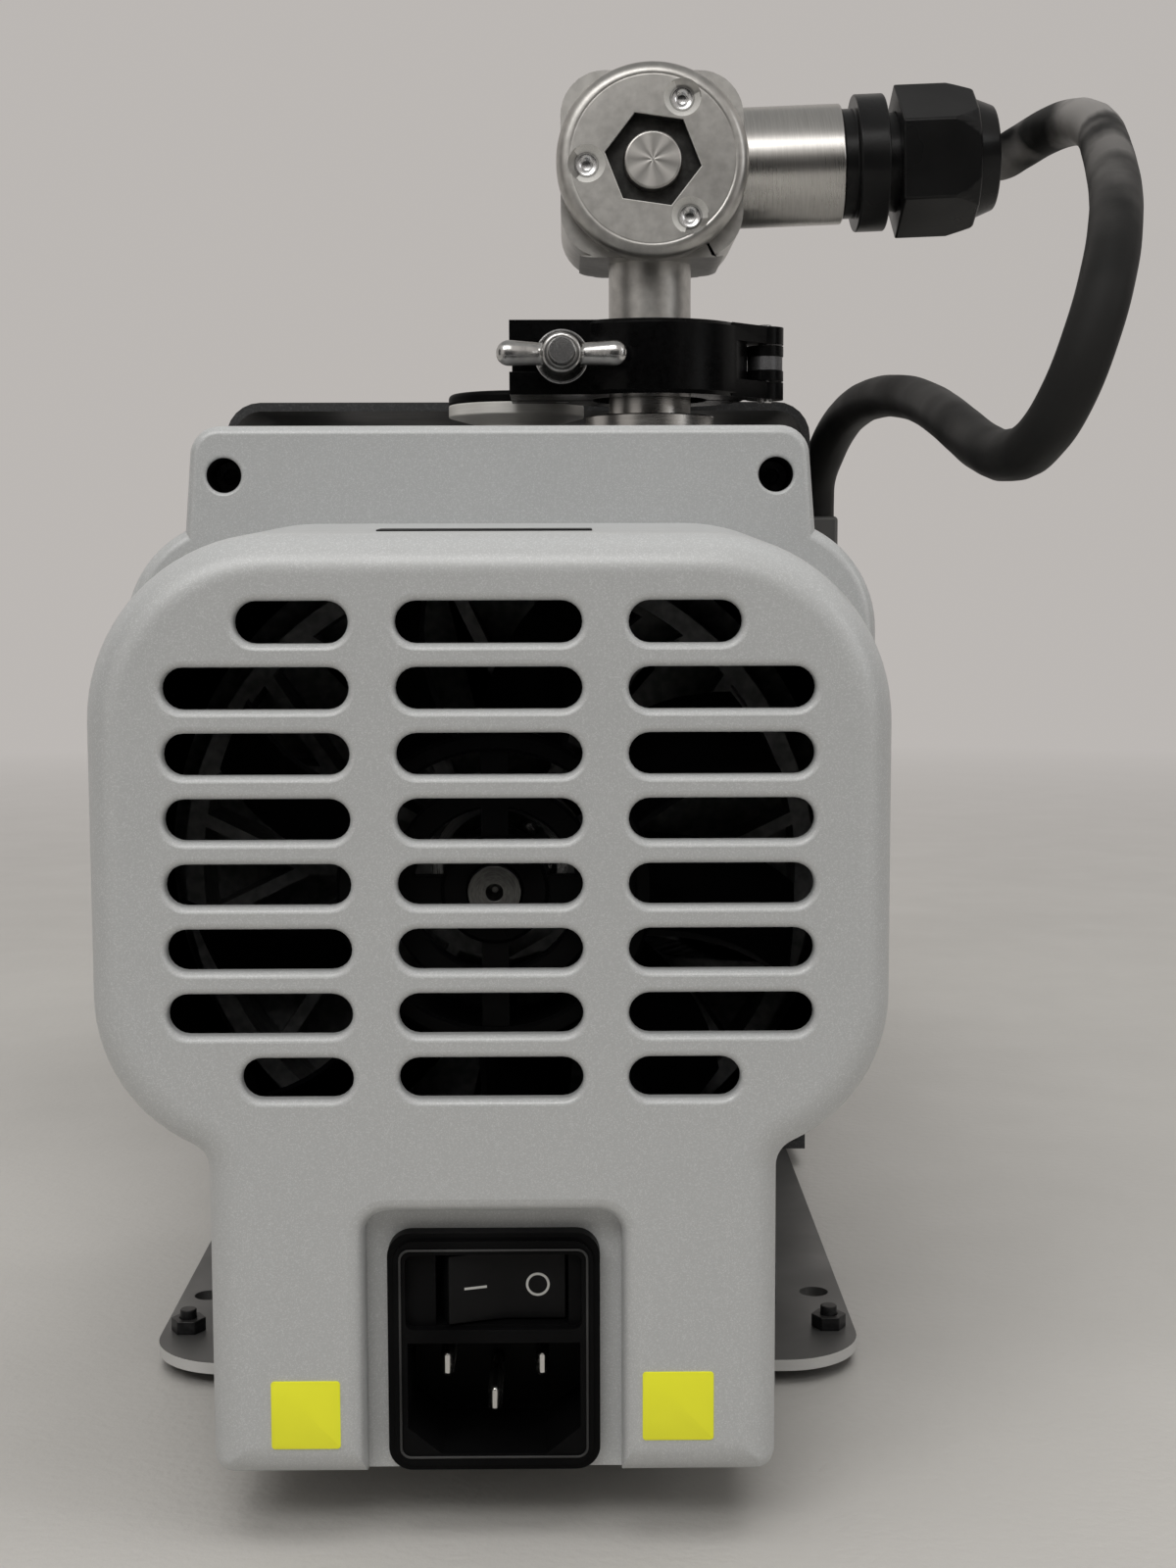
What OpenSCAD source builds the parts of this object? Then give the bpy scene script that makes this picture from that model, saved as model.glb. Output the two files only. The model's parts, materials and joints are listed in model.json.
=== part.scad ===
// Dry scroll vacuum pump with an inlet valve, an assembly of separate pieces.
// X runs to the right, Y to the rear and Z up. The origin lies on the floor, under the base plate's centre.

/* [Base] */
// Length of the base plate
base_l = 266; // [240:1:300]
// Width of the base plate
base_w = 126; // [118:1:140]
// Thickness of the base plate
base_t = 2; // [1.5:0.1:3]
// Radius of the base plate's corners
base_corner_r = 14; // [8:0.5:18]
// Height of the rubber feet, and of the plate's underside above the floor
foot_h = 2.5; // [2:0.1:5]
// Radius of a rubber foot
foot_r = 4.4; // [4:0.1:6]
// Distance of a foot from the plate's side edge
foot_inset_x = 4.6; // [4.6:0.1:8]
// Distance of a foot from the plate's front or rear edge
foot_inset_y = 17; // [12:0.5:24]
// Radius of a foot's stud
stud_r = 1.5; // [1.2:0.1:2]
// Height of a stud above the plate
stud_rise = 4; // [3:0.5:6]
// Width of a foot nut across its flats
nut_af = 5.5; // [5:0.1:7]
// Thickness of a foot nut
nut_t = 2.4; // [2:0.1:3]
// Radius of a mounting hole in the base plate
mount_hole_r = 2.75; // [2:0.05:3]
// Distance of a mounting hole from the plate's side edge
mount_inset_x = 5.2; // [5:0.1:8]
// Distance of a mounting hole from the plate's front or rear edge
mount_inset_y = 36; // [32:0.5:44]

/* [Cowl] */
// Reach of the cowl in front of the base plate
cowl_reach = 63; // [60:0.5:70]
// Width of the cowl's bulge
cowl_w = 115; // [110:0.5:120]
// Height of the bulge's top above the floor
cowl_top = 147.5; // [144:0.5:150]
// Radius of the bulge's top corners
cowl_top_r = 27; // [20:0.5:32]
// Radius of the bulge's lower corners
cowl_low_r = 24; // [18:0.5:28]
// Height of the lower corners' centres
cowl_low_z = 81; // [76:0.5:86]
// Width across the cowl's two legs
leg_w = 82.6; // [78:0.2:86]
// Height of the legs' lower end above the floor
leg_z = 10; // [8:0.5:14]
// Radius of the legs' lower corners
leg_r = 3; // [2:0.5:5]
// Radius of the hollow between the bulge and a leg
waist_r = 4; // [2:0.5:6]
// Rounding of the cowl's front edge
edge_r = 6; // [3:0.5:8]
// Wall of the cowl
cowl_wall = 2.5; // [2:0.1:3.2]
// Widening of the bulge towards its rear, a side
cowl_draft = 2.5; // [1:0.1:3]
// Length of the bulge, up to the collar
bulge_l = 60; // [56:0.5:64]
// Length of the collar behind the bulge
collar_l = 14; // [10:0.5:18]
// Width of the collar
collar_w = 126.4; // [124:0.2:130]
// Height of the collar's shoulders above the floor
collar_top = 151; // [150:0.5:154]
// Radius of the collar's shoulders
collar_r = 17; // [12:0.5:20]
// Height of the ledge's top above the floor
ledge_top = 166.2; // [164:0.2:168]
// Width of the ledge at its top
ledge_w = 102; // [100:0.5:106]
// Widening of the ledge towards its root, a side
ledge_flare = 2.3; // [1:0.1:3]
// Radius of the ledge's top corners
ledge_r = 5; // [3:0.5:7]
// Distance between the two cowl screws
cowl_screw_span = 92; // [88:0.5:94]
// Height of the cowl screws above the floor
cowl_screw_z = 158; // [157:0.2:159]
// Radius of the screw wells in the ledge
well_r = 2.9; // [2.8:0.1:3.4]
// Wall round a screw well
well_wall = 2.1; // [1.5:0.1:2.5]

/* [Air slots] */
// Number of slot rows
slot_rows = 8; // [6:1:8]
// Distance from one row to the next
slot_pitch = 9.3; // [8.5:0.05:9.4]
// Height of the top row above the floor
slot_top_z = 134.9; // [133:0.1:136]
// Height of a slot
slot_h = 6; // [4:0.1:7]
// Length of a slot
slot_l = 26.4; // [22:0.2:27]
// Length of the short slots in the top and bottom rows
slot_short_l = 16; // [12:0.5:20]
// Distance from the centre column to a side column
slot_column = 32.9; // [31:0.1:34]

/* [Power inlet] */
// Width of the pocket between the legs
pocket_w = 37.4; // [35:0.2:42]
// Height of the pocket's top above the floor
pocket_top = 48.8; // [48:0.2:52]
// Depth of the pocket
pocket_depth = 6; // [5.5:0.1:7]
// Width of the power inlet's frame
inlet_w = 31; // [30:0.2:33]
// Height of the power inlet's frame
inlet_h = 35.6; // [35:0.2:36]
// Gap between the cowl's lower end and the power inlet's frame
inlet_rise = 0.6; // [0.4:0.1:1.2]
// Thickness of the power inlet's frame
inlet_rim = 3.5; // [2.5:0.1:4.5]
// Depth of the power inlet's body behind the panel
inlet_body = 22; // [19:0.5:28]
// Width of the mains socket
socket_w = 25.2; // [24.2:0.1:26]
// Height of the mains socket
socket_h = 16.7; // [16.2:0.1:17]
// Depth of the mains socket
socket_depth = 17.5; // [16:0.5:20]
// Bevel of the socket's lower corners
socket_bevel = 5; // [4:0.1:6]
// Width of the rocker
rocker_w = 18.4; // [16:0.2:20]
// Height of the rocker
rocker_h = 10.2; // [9:0.1:10.6]
// Angle between the rocker's two faces and its resting tilt
rocker_tilt = 9; // [6:0.5:11]

/* [Fan] */
// Outer radius of the fan
fan_r = 47; // [42:0.5:48]
// Number of fan blades
fan_blades = 9; // [7:1:11]
// Length of the fan along the shaft
fan_l = 16; // [12:0.5:18]
// Radius of the fan's hub
fan_hub_r = 8.2; // [7:0.1:10]
// Width of a spoke of the fan
spoke_w = 4.1; // [3:0.1:6]
// Outer radius of the fan's carrying ring
fan_ring_r = 24; // [22:0.5:28]
// Thickness of a blade
blade_t = 1.6; // [1.2:0.1:2]
// Distance from the cowl's face to the front of the fan
fan_depth = 20; // [18:0.5:23]

/* [Scrolls] */
// Height of the shaft above the floor
shaft_z = 94; // [90:0.5:96]
// Pitch of the scroll wraps
wrap_pitch = 12; // [11:0.1:12.4]
// Thickness of the scroll wraps
wrap_t = 2.8; // [2.4:0.1:3]
// Height of the scroll wraps
wrap_h = 22; // [18:0.5:26]
// Gap between the flanks of the two wraps
flank_gap = 0.3; // [0.28:0.01:0.4]
// Gap between a wrap's tip and the other plate
tip_gap = 0.3; // [0.28:0.01:0.4]
// Radius at which the wraps start
wrap_in_r = 20; // [19.5:0.1:21]
// Radius at which the fixed wrap ends
wrap_out_r = 45; // [43:0.5:46]
// Thickness of the scroll plates
plate_t = 8; // [7:0.5:9]
// Radius of the orbiting scroll's plate
orbit_plate_r = 45; // [44:0.5:46]
// Radius of the pump chamber
chamber_r = 50; // [49.5:0.1:51]
// Outer radius of the round castings
casting_r = 56; // [55:0.5:56]
// Radius of the fixed scroll's ribbed front, inside the cowl
nose_r = 51; // [50:0.5:51.5]
// Width of the square casting flanges
flange_w = 112; // [110:0.5:118]
// Thickness of a casting flange
flange_t = 8; // [7:0.5:10]
// Height of the cooling ribs on the fixed scroll
rib_h = 13; // [8:0.5:13]
// Number of forked cooling ribs
rib_count = 12; // [8:1:14]
// Thickness of a cooling rib
rib_t = 2; // [1.6:0.1:2.6]
// Distance from a housing bolt to the shaft's axis, across and up
bolt_offset = 47; // [46:0.5:48]
// Radius of a housing bolt
bolt_r = 2.5; // [2:0.1:3]

/* [Drive] */
// Radius of the shaft at the fan
fan_seat_r = 4; // [3.5:0.1:4.4]
// Radius of the shaft's front journal
front_journal_r = 5; // [4.8:0.1:5.5]
// Outer radius of the front and motor-end bearings
small_bearing_r = 11; // [10.5:0.1:12]
// Radius of the shaft's main journal
main_journal_r = 7.5; // [7:0.1:8]
// Outer radius of the main bearing
main_bearing_r = 17.5; // [17:0.1:18]
// Width of the main bearing
main_bearing_t = 10; // [9:0.5:10.5]
// Radius of the crank pin
crank_pin_r = 8.5; // [8.4:0.1:9]
// Outer radius of the crank bearing
crank_bearing_r = 13; // [12:0.1:13.5]
// Distance of the idler cranks from the shaft
idler_radius = 33; // [32:0.2:34]
// Radius of an idler crank's journal
idler_journal_r = 4; // [3.5:0.1:4.5]
// Radius of an idler crank's pin
idler_pin_r = 3; // [2.5:0.1:3.4]
// Radius of the idler cranks' bushes in the scroll
pin_bush_r = 6; // [5.5:0.1:6.5]
// Radius of the idler cranks' bushes in the frame
journal_bush_r = 7; // [6.5:0.1:7.5]
// Radius of the counterweight
counterweight_r = 22; // [18:0.5:22.5]
// Running clearance of the journals, pins and bushes
run_gap = 0.04; // [0.02:0.01:0.08]

/* [Motor] */
// Radius of the motor shell
motor_r = 52; // [50:0.5:53]
// Wall of the motor shell
motor_wall = 3.5; // [3:0.1:4.5]
// Length of the motor shell
motor_l = 114; // [108:0.5:118]
// Number of ribs on the motor shell
motor_ribs = 20; // [12:1:24]
// Height of the ribs on the motor shell
motor_rib_h = 5; // [3:0.5:6]
// Length of the stator core and the rotor
core_l = 66; // [56:0.5:72]
// Radius of the rotor
rotor_r = 29.5; // [26:0.5:30]
// Gap between the rotor and the stator core
air_gap = 0.4; // [0.3:0.05:0.6]
// Thickness of the motor's end bell
bell_t = 14; // [12:0.5:16]

/* [Rear cover] */
// How far the rear cover stands out past the base plate on each side
cover_overhang = 4.5; // [4:0.1:6]
// Height of the rear cover's top above the floor
cover_top = 181; // [178:0.5:184]
// Length of the rear cover
cover_l = 154; // [146:0.5:158]
// Distance from the base plate's centre to the rear cover's front edge
cover_front = 6; // [5:0.5:8]
// Sheet thickness of the rear cover
cover_t = 2; // [1.5:0.1:2.5]
// Outer radius of the rear cover's top corners
cover_r = 8; // [5:0.5:12]
// Width of the flanges that rest on the base plate
cover_lip = 10; // [8:0.5:12]
// Number of slots in the rear grille
grille_rows = 14; // [8:1:15]

/* [Ports and clamp] */
// Distance of the inlet axis to the right of the pump's centre
inlet_x = 28.7; // [27:0.1:30]
// Distance of the inlet axis in front of the base plate's centre
inlet_y = 37.4; // [36:0.2:39]
// Height of the frame's port pad above the floor
port_pad_z = 170.5; // [169.5:0.1:171]
// Outer radius of the port tubes
tube_r = 8.6; // [8.4:0.1:9]
// Bore radius of the port tubes
bore_r = 7; // [6.5:0.1:7.5]
// Radius of a small vacuum flange
kf_r = 15; // [14.9:0.05:15.1]
// Rim thickness of a small vacuum flange
kf_rim = 2.6; // [2.4:0.1:3]
// Height of the joint between the two inlet flanges
joint_z = 185.4; // [185:0.1:187]
// Gap between two clamped flanges, filled by the O-ring
kf_gap = 3.2; // [3:0.1:4]
// Radius of the inlet port's root ring
root_ring_r = 13.5; // [12.5:0.1:14]
// Height of the inlet port's root ring
root_ring_h = 3.9; // [3:0.1:4.5]
// Distance of the exhaust axis in front of the base plate's centre
exhaust_y = 13; // [12:0.1:14]
// Height of the exhaust flange's top above the floor
exhaust_top = 178.6; // [178:0.1:179.2]
// Thickness of the exhaust cap
cap_t = 2.4; // [2:0.1:3]
// Height of the clamp
clamp_h = 15; // [14:0.1:16]
// Outer radius of the clamp's jaws
clamp_r = 20.5; // [20:0.1:21]
// Inner radius of the clamp's jaws
clamp_in_r = 12.2; // [12:0.1:12.6]
// Distance from the inlet axis to the clamp's hinge pin
hinge_x = 24.3; // [24:0.1:25.5]
// Radius of the clamp's hinge pin
hinge_pin_r = 1.5; // [1.2:0.1:1.8]
// Distance from the inlet axis to the clamp's bolt
swing_x = 18.5; // [18.2:0.1:19]
// Radius of the clamp's bolt
swing_r = 2.5; // [2:0.1:2.5]
// Reach of the clamp's bolt in front of the inlet axis
swing_reach = 31; // [30:0.5:34]
// Span of the wing nut's wings
wing_span = 26.4; // [24:0.2:27]
// Play between the clamp's jaws and what they hold
jaw_play = 0.3; // [0.28:0.01:0.4]

/* [Valve] */
// Height of the valve's axis above the floor
valve_z = 224.4; // [222:0.2:226]
// Radius of the valve's front disc
disc_r = 19.5; // [19:0.1:20]
// Thickness of the valve's front disc
disc_t = 6; // [5:0.1:7]
// Half width of the valve's body
body_half = 18.6; // [18.2:0.1:19]
// Radius of the body's long edges
body_edge_r = 6; // [4:0.5:9]
// Reach of the valve's body in front of the inlet axis
body_front = 12.6; // [12:0.1:14]
// Reach of the valve's body behind the inlet axis
body_back = 18.4; // [18:0.1:20]
// Radius of the valve's chamber
valve_chamber_r = 11.2; // [10.8:0.1:11.4]
// Width of the hexagonal recess across its flats
hex_af = 17; // [16:0.1:18]
// Depth of the hexagonal recess
hex_depth = 4; // [3:0.1:5]
// Radius of the valve's centre post
post_r = 5.9; // [5:0.1:6.2]
// Distance from the valve's axis to a disc screw
disc_screw_radius = 13.4; // [13:0.1:14]
// Radius of a disc screw's countersunk head
disc_screw_r = 3.5; // [2.8:0.1:3.6]
// Travel of the valve's plunger
plunger_travel = 3; // [2:0.5:3]
// Reach of the valve's rear port behind its body
rear_port_l = 22; // [18:0.5:28]

/* [Side arm and gland] */
// Outer radius of the side arm
arm_r = 12.2; // [11.5:0.1:12.6]
// Wall of the side arm
arm_wall = 1.8; // [1.4:0.1:2.4]
// Distance from the inlet axis to the side arm's end
arm_reach = 39.7; // [36:0.1:44]
// Tilt of the side arm, its free end raised
arm_tilt = 2.3; // [0:0.1:4]
// Height of the side arm's root above the valve's axis
arm_rise = 0.6; // [0:0.1:1.5]
// Radius of the gland's flange ring
gland_ring_r = 13.9; // [13:0.1:14.5]
// Width of the gland's flange ring
gland_ring_t = 6.1; // [5:0.1:7]
// Radius of the gland's thread
gland_thread_r = 10; // [9:0.1:10.5]
// Width of the gland nut across its flats
gland_af = 27; // [25:0.2:28]
// Length of the gland nut's hexagon
gland_nut_l = 16; // [14:0.5:18]
// Length of the gland nut's round end
gland_dome_l = 4.5; // [3:0.5:6]
// Radius of the cable
cable_r = 4.6; // [4.4:0.05:4.7]

/* [Hidden] */

$fn = 48;
eps = 0.01;
// Clearance of a screw in its hole, and of a piece in its seat
seat_gap = 0.05;

// Heights and planes along Y that the pieces share
plate_z = foot_h + base_t;
face_y = -base_l / 2 - cowl_reach;
collar_y = face_y + bulge_l;
cowl_end_y = collar_y + collar_l;
fixed_flange_y = cowl_end_y + 10;
frame_y = fixed_flange_y + flange_t;
orbit_face_y = frame_y - 3.7;
fixed_plate_y = orbit_face_y - wrap_h - tip_gap;
fixed_front_y = fixed_plate_y - plate_t;
orbit_back_y = orbit_face_y + plate_t;
chamber_end_y = frame_y + 42;
web_end_y = chamber_end_y + 11;
frame_end_y = cover_front - 12;
pin_start_y = orbit_face_y + 9.7;
hub_l = 17;

orbit_r = wrap_pitch / 2 - wrap_t - flank_gap;
crank_z = shaft_z + orbit_r;
idler_angles = [90, 210, 330];

inlet_cz = leg_z + inlet_rise + inlet_h / 2;
panel_y = face_y + pocket_depth;
socket_cz = inlet_cz - 6.75;
rocker_cz = inlet_cz + 9.2;
rocker_x = 1.2;
rocker_y = panel_y + 3.5;
pin_span = 14;
pin_rise = 3.9;
earth_drop = 5;

in_y = -inlet_y;
ex_y = -exhaust_y;
disc_y = in_y - body_front;
valve_end_y = in_y + body_back;
gland_ring_start = arm_reach + 2.9;
gland_ring_end = gland_ring_start + gland_ring_t;
gland_nut_start = gland_ring_end + 2.5;
gland_end = gland_nut_start + gland_nut_l + gland_dome_l;
arm_z = valve_z + arm_rise;
bolt_x = inlet_x - swing_x;
front_lug_y = in_y - 16.1;
washer_t = 1.5;
nut_hub_l = 8.5;

// Points of an arc, from one angle to another
function arc(cx, cy, r, a0, a1, n, first = 0) =
    [for (i = [first:n]) let (a = a0 + (a1 - a0) * i / n) [cx + r * cos(a), cy + r * sin(a)]];

// The left half of an outline that is the same on both sides
function mirrored(p) = [for (i = [len(p) - 1:-1:0]) [-p[i][0], p[i][1]]];

// Outline of the cowl, seen from the front, moved inwards by inset
function cowl_path(w, top, r_top, r_low, low_z, leg, inset) =
    let (
        half = w / 2,
        low_x = half - r_low,
        waist_x = leg / 2 + waist_r,
        reach = r_low + waist_r,
        waist_z = low_z - sqrt(reach * reach - pow(waist_x - low_x, 2)),
        bend = atan2(waist_z - low_z, waist_x - low_x),
        r_foot = max(leg_r - inset, 0.4),
        right = concat(
            arc(half - r_top, top - r_top, r_top - inset, 90, 0, 9),
            arc(low_x, low_z, r_low - inset, 0, bend, 7),
            arc(waist_x, waist_z, waist_r + inset, bend + 180, 180, 4, 1),
            arc(leg / 2 - inset - r_foot, leg_z + inset + r_foot, r_foot, 0, -90, 3)
        )
    ) concat(right, mirrored(right));

// A closed skin through outlines that stand at given places along Y
module loft(rings) {
    n = len(rings[0][1]);
    last = (len(rings) - 1) * n;
    points = [for (ring = rings) for (p = ring[1]) [p[0], ring[0], p[1]]];
    sides = [
        for (k = [0:len(rings) - 2]) for (i = [0:n - 1])
            let (a = k * n + i, b = a + n, c = k * n + (i + 1) % n, d = c + n)
                each [[a, b, d], [a, d, c]]
    ];
    front = [[for (i = [0:n - 1]) i]];
    back = [[for (i = [0:n - 1]) last + n - 1 - i]];
    polyhedron(points, concat(front, sides, back));
}

// A flat outline in X and Z, made solid from y0 to y1
module slab(y0, y1) {
    translate([0, y1, 0]) rotate([90, 0, 0]) linear_extrude(y1 - y0) children();
}

// A round bar along Y, from y0 to y1
module rod_y(r, y0, y1, x = 0, z = 0) {
    translate([x, y1, z]) rotate([90, 0, 0]) cylinder(h = y1 - y0, r = r);
}

// A block from one corner to the other
module block(low, high) {
    translate(low) cube(high - low);
}

// A plate in X and Y with four rounded corners
module rounded_plate(w, l, t, r) {
    translate([-w / 2, -l / 2 + r, 0]) cube([w, l - 2 * r, t]);
    translate([-w / 2 + r, -l / 2, 0]) cube([w - 2 * r, l, t]);
    for (x = [-1, 1], y = [-1, 1])
        translate([x * (w / 2 - r), y * (l / 2 - r), 0]) cylinder(h = t, r = r);
}

// A slab across X and Z with four rounded corners
module rounded_slab(w, h, r, y0, y1, x = 0, z = 0) {
    translate([x, y1, z]) rotate([90, 0, 0]) {
        translate([-w / 2, -h / 2 + r, 0]) cube([w, h - 2 * r, y1 - y0]);
        translate([-w / 2 + r, -h / 2, 0]) cube([w - 2 * r, h, y1 - y0]);
        for (i = [-1, 1], k = [-1, 1])
            translate([i * (w / 2 - r), k * (h / 2 - r), 0]) cylinder(h = y1 - y0, r = r);
    }
}

module four_corners(x, y) {
    for (i = [-1, 1], k = [-1, 1])
        translate([i * x, k * y, 0]) children();
}

// Base plate and feet
foot_x = base_w / 2 - foot_inset_x;
foot_y = base_l / 2 - foot_inset_y;
mount_x = base_w / 2 - mount_inset_x;
mount_y = base_l / 2 - mount_inset_y;
cover_w = base_w + 2 * cover_overhang;
foot_bolt_x = 42;
foot_bolt_front_y = frame_y + 6;
foot_bolt_span = 32;
foot_bolt_rear_y = foot_bolt_front_y + foot_bolt_span;
motor_foot_y = 72;
motor_bolt_x = 20;
cover_screw_y = [cover_front + 20, mount_y - 17];
cover_screw_x = cover_w / 2 - cover_t - cover_lip + 3.4;

module base_plate() {
    color([0.45, 0.46, 0.47]) difference() {
        translate([0, 0, foot_h]) rounded_plate(base_w, base_l, base_t, base_corner_r);
        four_corners(foot_x, foot_y)
            translate([0, 0, foot_h - 1]) cylinder(h = base_t + 2, r = stud_r + seat_gap);
        four_corners(mount_x, mount_y)
            translate([0, 0, foot_h - 1]) cylinder(h = base_t + 2, r = mount_hole_r);
        for (x = [-1, 1], y = [foot_bolt_front_y, foot_bolt_rear_y])
            translate([x * foot_bolt_x, y, foot_h - 1]) cylinder(h = base_t + 2, r = bolt_r + seat_gap);
        for (x = [-1, 1])
            translate([x * motor_bolt_x, motor_foot_y, foot_h - 1]) cylinder(h = base_t + 2, r = bolt_r + seat_gap);
        for (x = [-1, 1], y = cover_screw_y)
            translate([x * cover_screw_x, y, foot_h - 1]) cylinder(h = base_t + 2, r = stud_r + seat_gap);
    }
}

stud_head_t = 1;

module rubber_feet() {
    color([0.08, 0.08, 0.08]) four_corners(foot_x, foot_y) difference() {
        cylinder(h = foot_h, r = foot_r);
        translate([0, 0, -1]) cylinder(h = foot_h + 2, r = stud_r + seat_gap);
        translate([0, 0, -1]) cylinder(h = stud_head_t + 1.3, r = 2 * stud_r + seat_gap);
    }
}

module foot_studs() {
    color([0.15, 0.15, 0.15]) four_corners(foot_x, foot_y) {
        translate([0, 0, 0.3]) cylinder(h = stud_head_t, r = 2 * stud_r);
        translate([0, 0, 0.3]) cylinder(h = plate_z + stud_rise - 0.3, r = stud_r);
    }
}

module hex_prism(af, h) {
    cylinder(h = h, r = af / sqrt(3), $fn = 6);
}

module foot_nuts() {
    color([0.12, 0.12, 0.12]) four_corners(foot_x, foot_y) translate([0, 0, plate_z]) difference() {
        hex_prism(nut_af, nut_t);
        translate([0, 0, -1]) cylinder(h = nut_t + 2, r = stud_r + seat_gap);
    }
}

// Cowl with its slots, ledge and pocket
edge_steps = 4;

function cowl_ring(inset) = cowl_path(cowl_w, cowl_top, cowl_top_r, cowl_low_r, cowl_low_z, leg_w, inset);

function edge_rings(y, r, skin) = [
    for (i = [0:edge_steps]) let (t = 90 * i / edge_steps)
        [y + r * (1 - cos(t)), cowl_ring(skin + r * (1 - sin(t)))]
];

collar_low_r = 30;
collar_leg = leg_w + 5;

function collar_ring(inset) =
    cowl_path(collar_w, collar_top, collar_r, collar_low_r, cowl_low_z + 3, collar_leg, inset);

function ledge_path(inset) =
    let (
        top = ledge_w / 2,
        root_z = collar_top - collar_r,
        root = top + ledge_flare,
        right = concat(
            arc(top - ledge_r, ledge_top - ledge_r, ledge_r - inset, 90, 0, 5),
            [[root - inset, root_z]]
        )
    ) concat(right, mirrored(right));

module stadium_y(x, z, l, h, y0, y1) {
    block([x - l / 2 + h / 2, y0, z - h / 2], [x + l / 2 - h / 2, y1, z + h / 2]);
    for (s = [-1, 1])
        rod_y(h / 2, y0, y1, x + s * (l - h) / 2, z);
}

module air_slots() {
    y0 = face_y - 1;
    y1 = face_y + cowl_wall + 1;
    for (row = [0:slot_rows - 1]) {
        z = slot_top_z - row * slot_pitch;
        short = row == 0 || row == slot_rows - 1;
        stadium_y(0, z, slot_l, slot_h, y0, y1);
        for (side = [-1, 1]) {
            l = short ? slot_short_l : slot_l;
            x = side * (slot_column - (slot_l - l) / 2);
            stadium_y(x, z, l, slot_h, y0, y1);
        }
    }
}

panel_hole_w = inlet_w - 4;
panel_hole_h = inlet_h - 4;
panel_r = 3.5;

module fan_cowl() {
    pocket_cz = (pocket_top + leg_z) / 2 - 10;
    pocket_h = pocket_top - leg_z + 20;
    color([0.72, 0.73, 0.75]) difference() {
        union() {
            difference() {
                union() {
                    loft(concat(edge_rings(face_y, edge_r, 0), [[collar_y + 1, cowl_ring(-cowl_draft)]]));
                    slab(collar_y, cowl_end_y) polygon(collar_ring(0));
                    slab(collar_y, cowl_end_y) polygon(ledge_path(0));
                }
                loft(concat(
                    edge_rings(face_y + cowl_wall, edge_r - cowl_wall, cowl_wall),
                    [[cowl_end_y + 1, cowl_ring(cowl_wall - cowl_draft)]]
                ));
                slab(collar_y + cowl_wall, cowl_end_y + 1) polygon(collar_ring(cowl_wall));
                slab(collar_y + cowl_wall, cowl_end_y + 1) polygon(ledge_path(cowl_wall));
            }
            for (s = [-1, 1])
                rod_y(well_r + well_wall, collar_y + 1, cowl_end_y, s * cowl_screw_span / 2, cowl_screw_z);
            intersection() {
                rounded_slab(pocket_w + 2 * cowl_wall, pocket_h + 2 * cowl_wall, panel_r + cowl_wall,
                    face_y + 2, panel_y + cowl_wall, 0, pocket_cz);
                union() {
                    block([-pocket_w, face_y + 2, leg_z + 1.6], [pocket_w, panel_y + 5, pocket_top + 5]);
                    block([-pocket_w, panel_y - 0.5, leg_z], [pocket_w, panel_y + 5, pocket_top + 5]);
                }
            }
        }
        rounded_slab(pocket_w, pocket_h, panel_r, face_y - 1, panel_y, 0, pocket_cz);
        block([-panel_hole_w / 2, panel_y - 1, inlet_cz - panel_hole_h / 2],
            [panel_hole_w / 2, panel_y + 8, inlet_cz + panel_hole_h / 2]);
        air_slots();
        for (s = [-1, 1]) {
            rod_y(well_r, collar_y - 1, cowl_end_y - 2, s * cowl_screw_span / 2, cowl_screw_z);
            rod_y(stud_r + seat_gap, collar_y, cowl_end_y + 1, s * cowl_screw_span / 2, cowl_screw_z);
        }
    }
}

module cowl_screws() {
    head_y = cowl_end_y - 2;
    color([0.1, 0.1, 0.1]) for (s = [-1, 1]) difference() {
        union() {
            rod_y(well_r - 0.2, head_y - 3, head_y, s * cowl_screw_span / 2, cowl_screw_z);
            rod_y(stud_r, head_y - 1, head_y + 12, s * cowl_screw_span / 2, cowl_screw_z);
        }
        translate([s * cowl_screw_span / 2, head_y - 1.2, cowl_screw_z]) rotate([90, 0, 0])
            cylinder(h = 3, r = 1.45, $fn = 6);
    }
}

// Power inlet, its pins and the rocker
opening_w = socket_w + 0.5;
rocker_well_h = rocker_h + 1;

module socket_outline() {
    w = socket_w / 2;
    h = socket_h / 2;
    polygon([
        [-w, h], [w, h], [w, -h + socket_bevel * 0.8], [w - socket_bevel, -h],
        [-w + socket_bevel, -h], [-w, -h + socket_bevel * 0.8]
    ]);
}

module power_inlet() {
    front_y = panel_y - inlet_rim;
    color([0.06, 0.06, 0.06]) difference() {
        union() {
            rounded_slab(inlet_w, inlet_h, 3.5, front_y + 0.8, panel_y, 0, inlet_cz);
            rounded_slab(inlet_w - 2, inlet_h - 2, 3, front_y, panel_y, 0, inlet_cz);
            block([-panel_hole_w / 2 + 0.3, panel_y - 1, inlet_cz - panel_hole_h / 2 + 0.3],
                [panel_hole_w / 2 - 0.3, panel_y + inlet_body, inlet_cz + panel_hole_h / 2 - 0.3]);
        }
        translate([0, 0, socket_cz]) slab(front_y - 1, front_y + socket_depth) socket_outline();
        rounded_slab(opening_w, rocker_well_h, 1.2, front_y - 1, front_y + 1.8, 0, rocker_cz);
        block([rocker_x - rocker_w / 2 - 0.5, front_y, rocker_cz - rocker_h / 2 - 0.35],
            [rocker_x + rocker_w / 2 + 0.5, rocker_y + 5.5, rocker_cz + rocker_h / 2 + 0.35]);
        translate([rocker_x, rocker_y, rocker_cz - rocker_h / 2 - 1.6])
            cylinder(h = rocker_h + 3.2, r = 1.2 + run_gap);
    }
}

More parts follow.
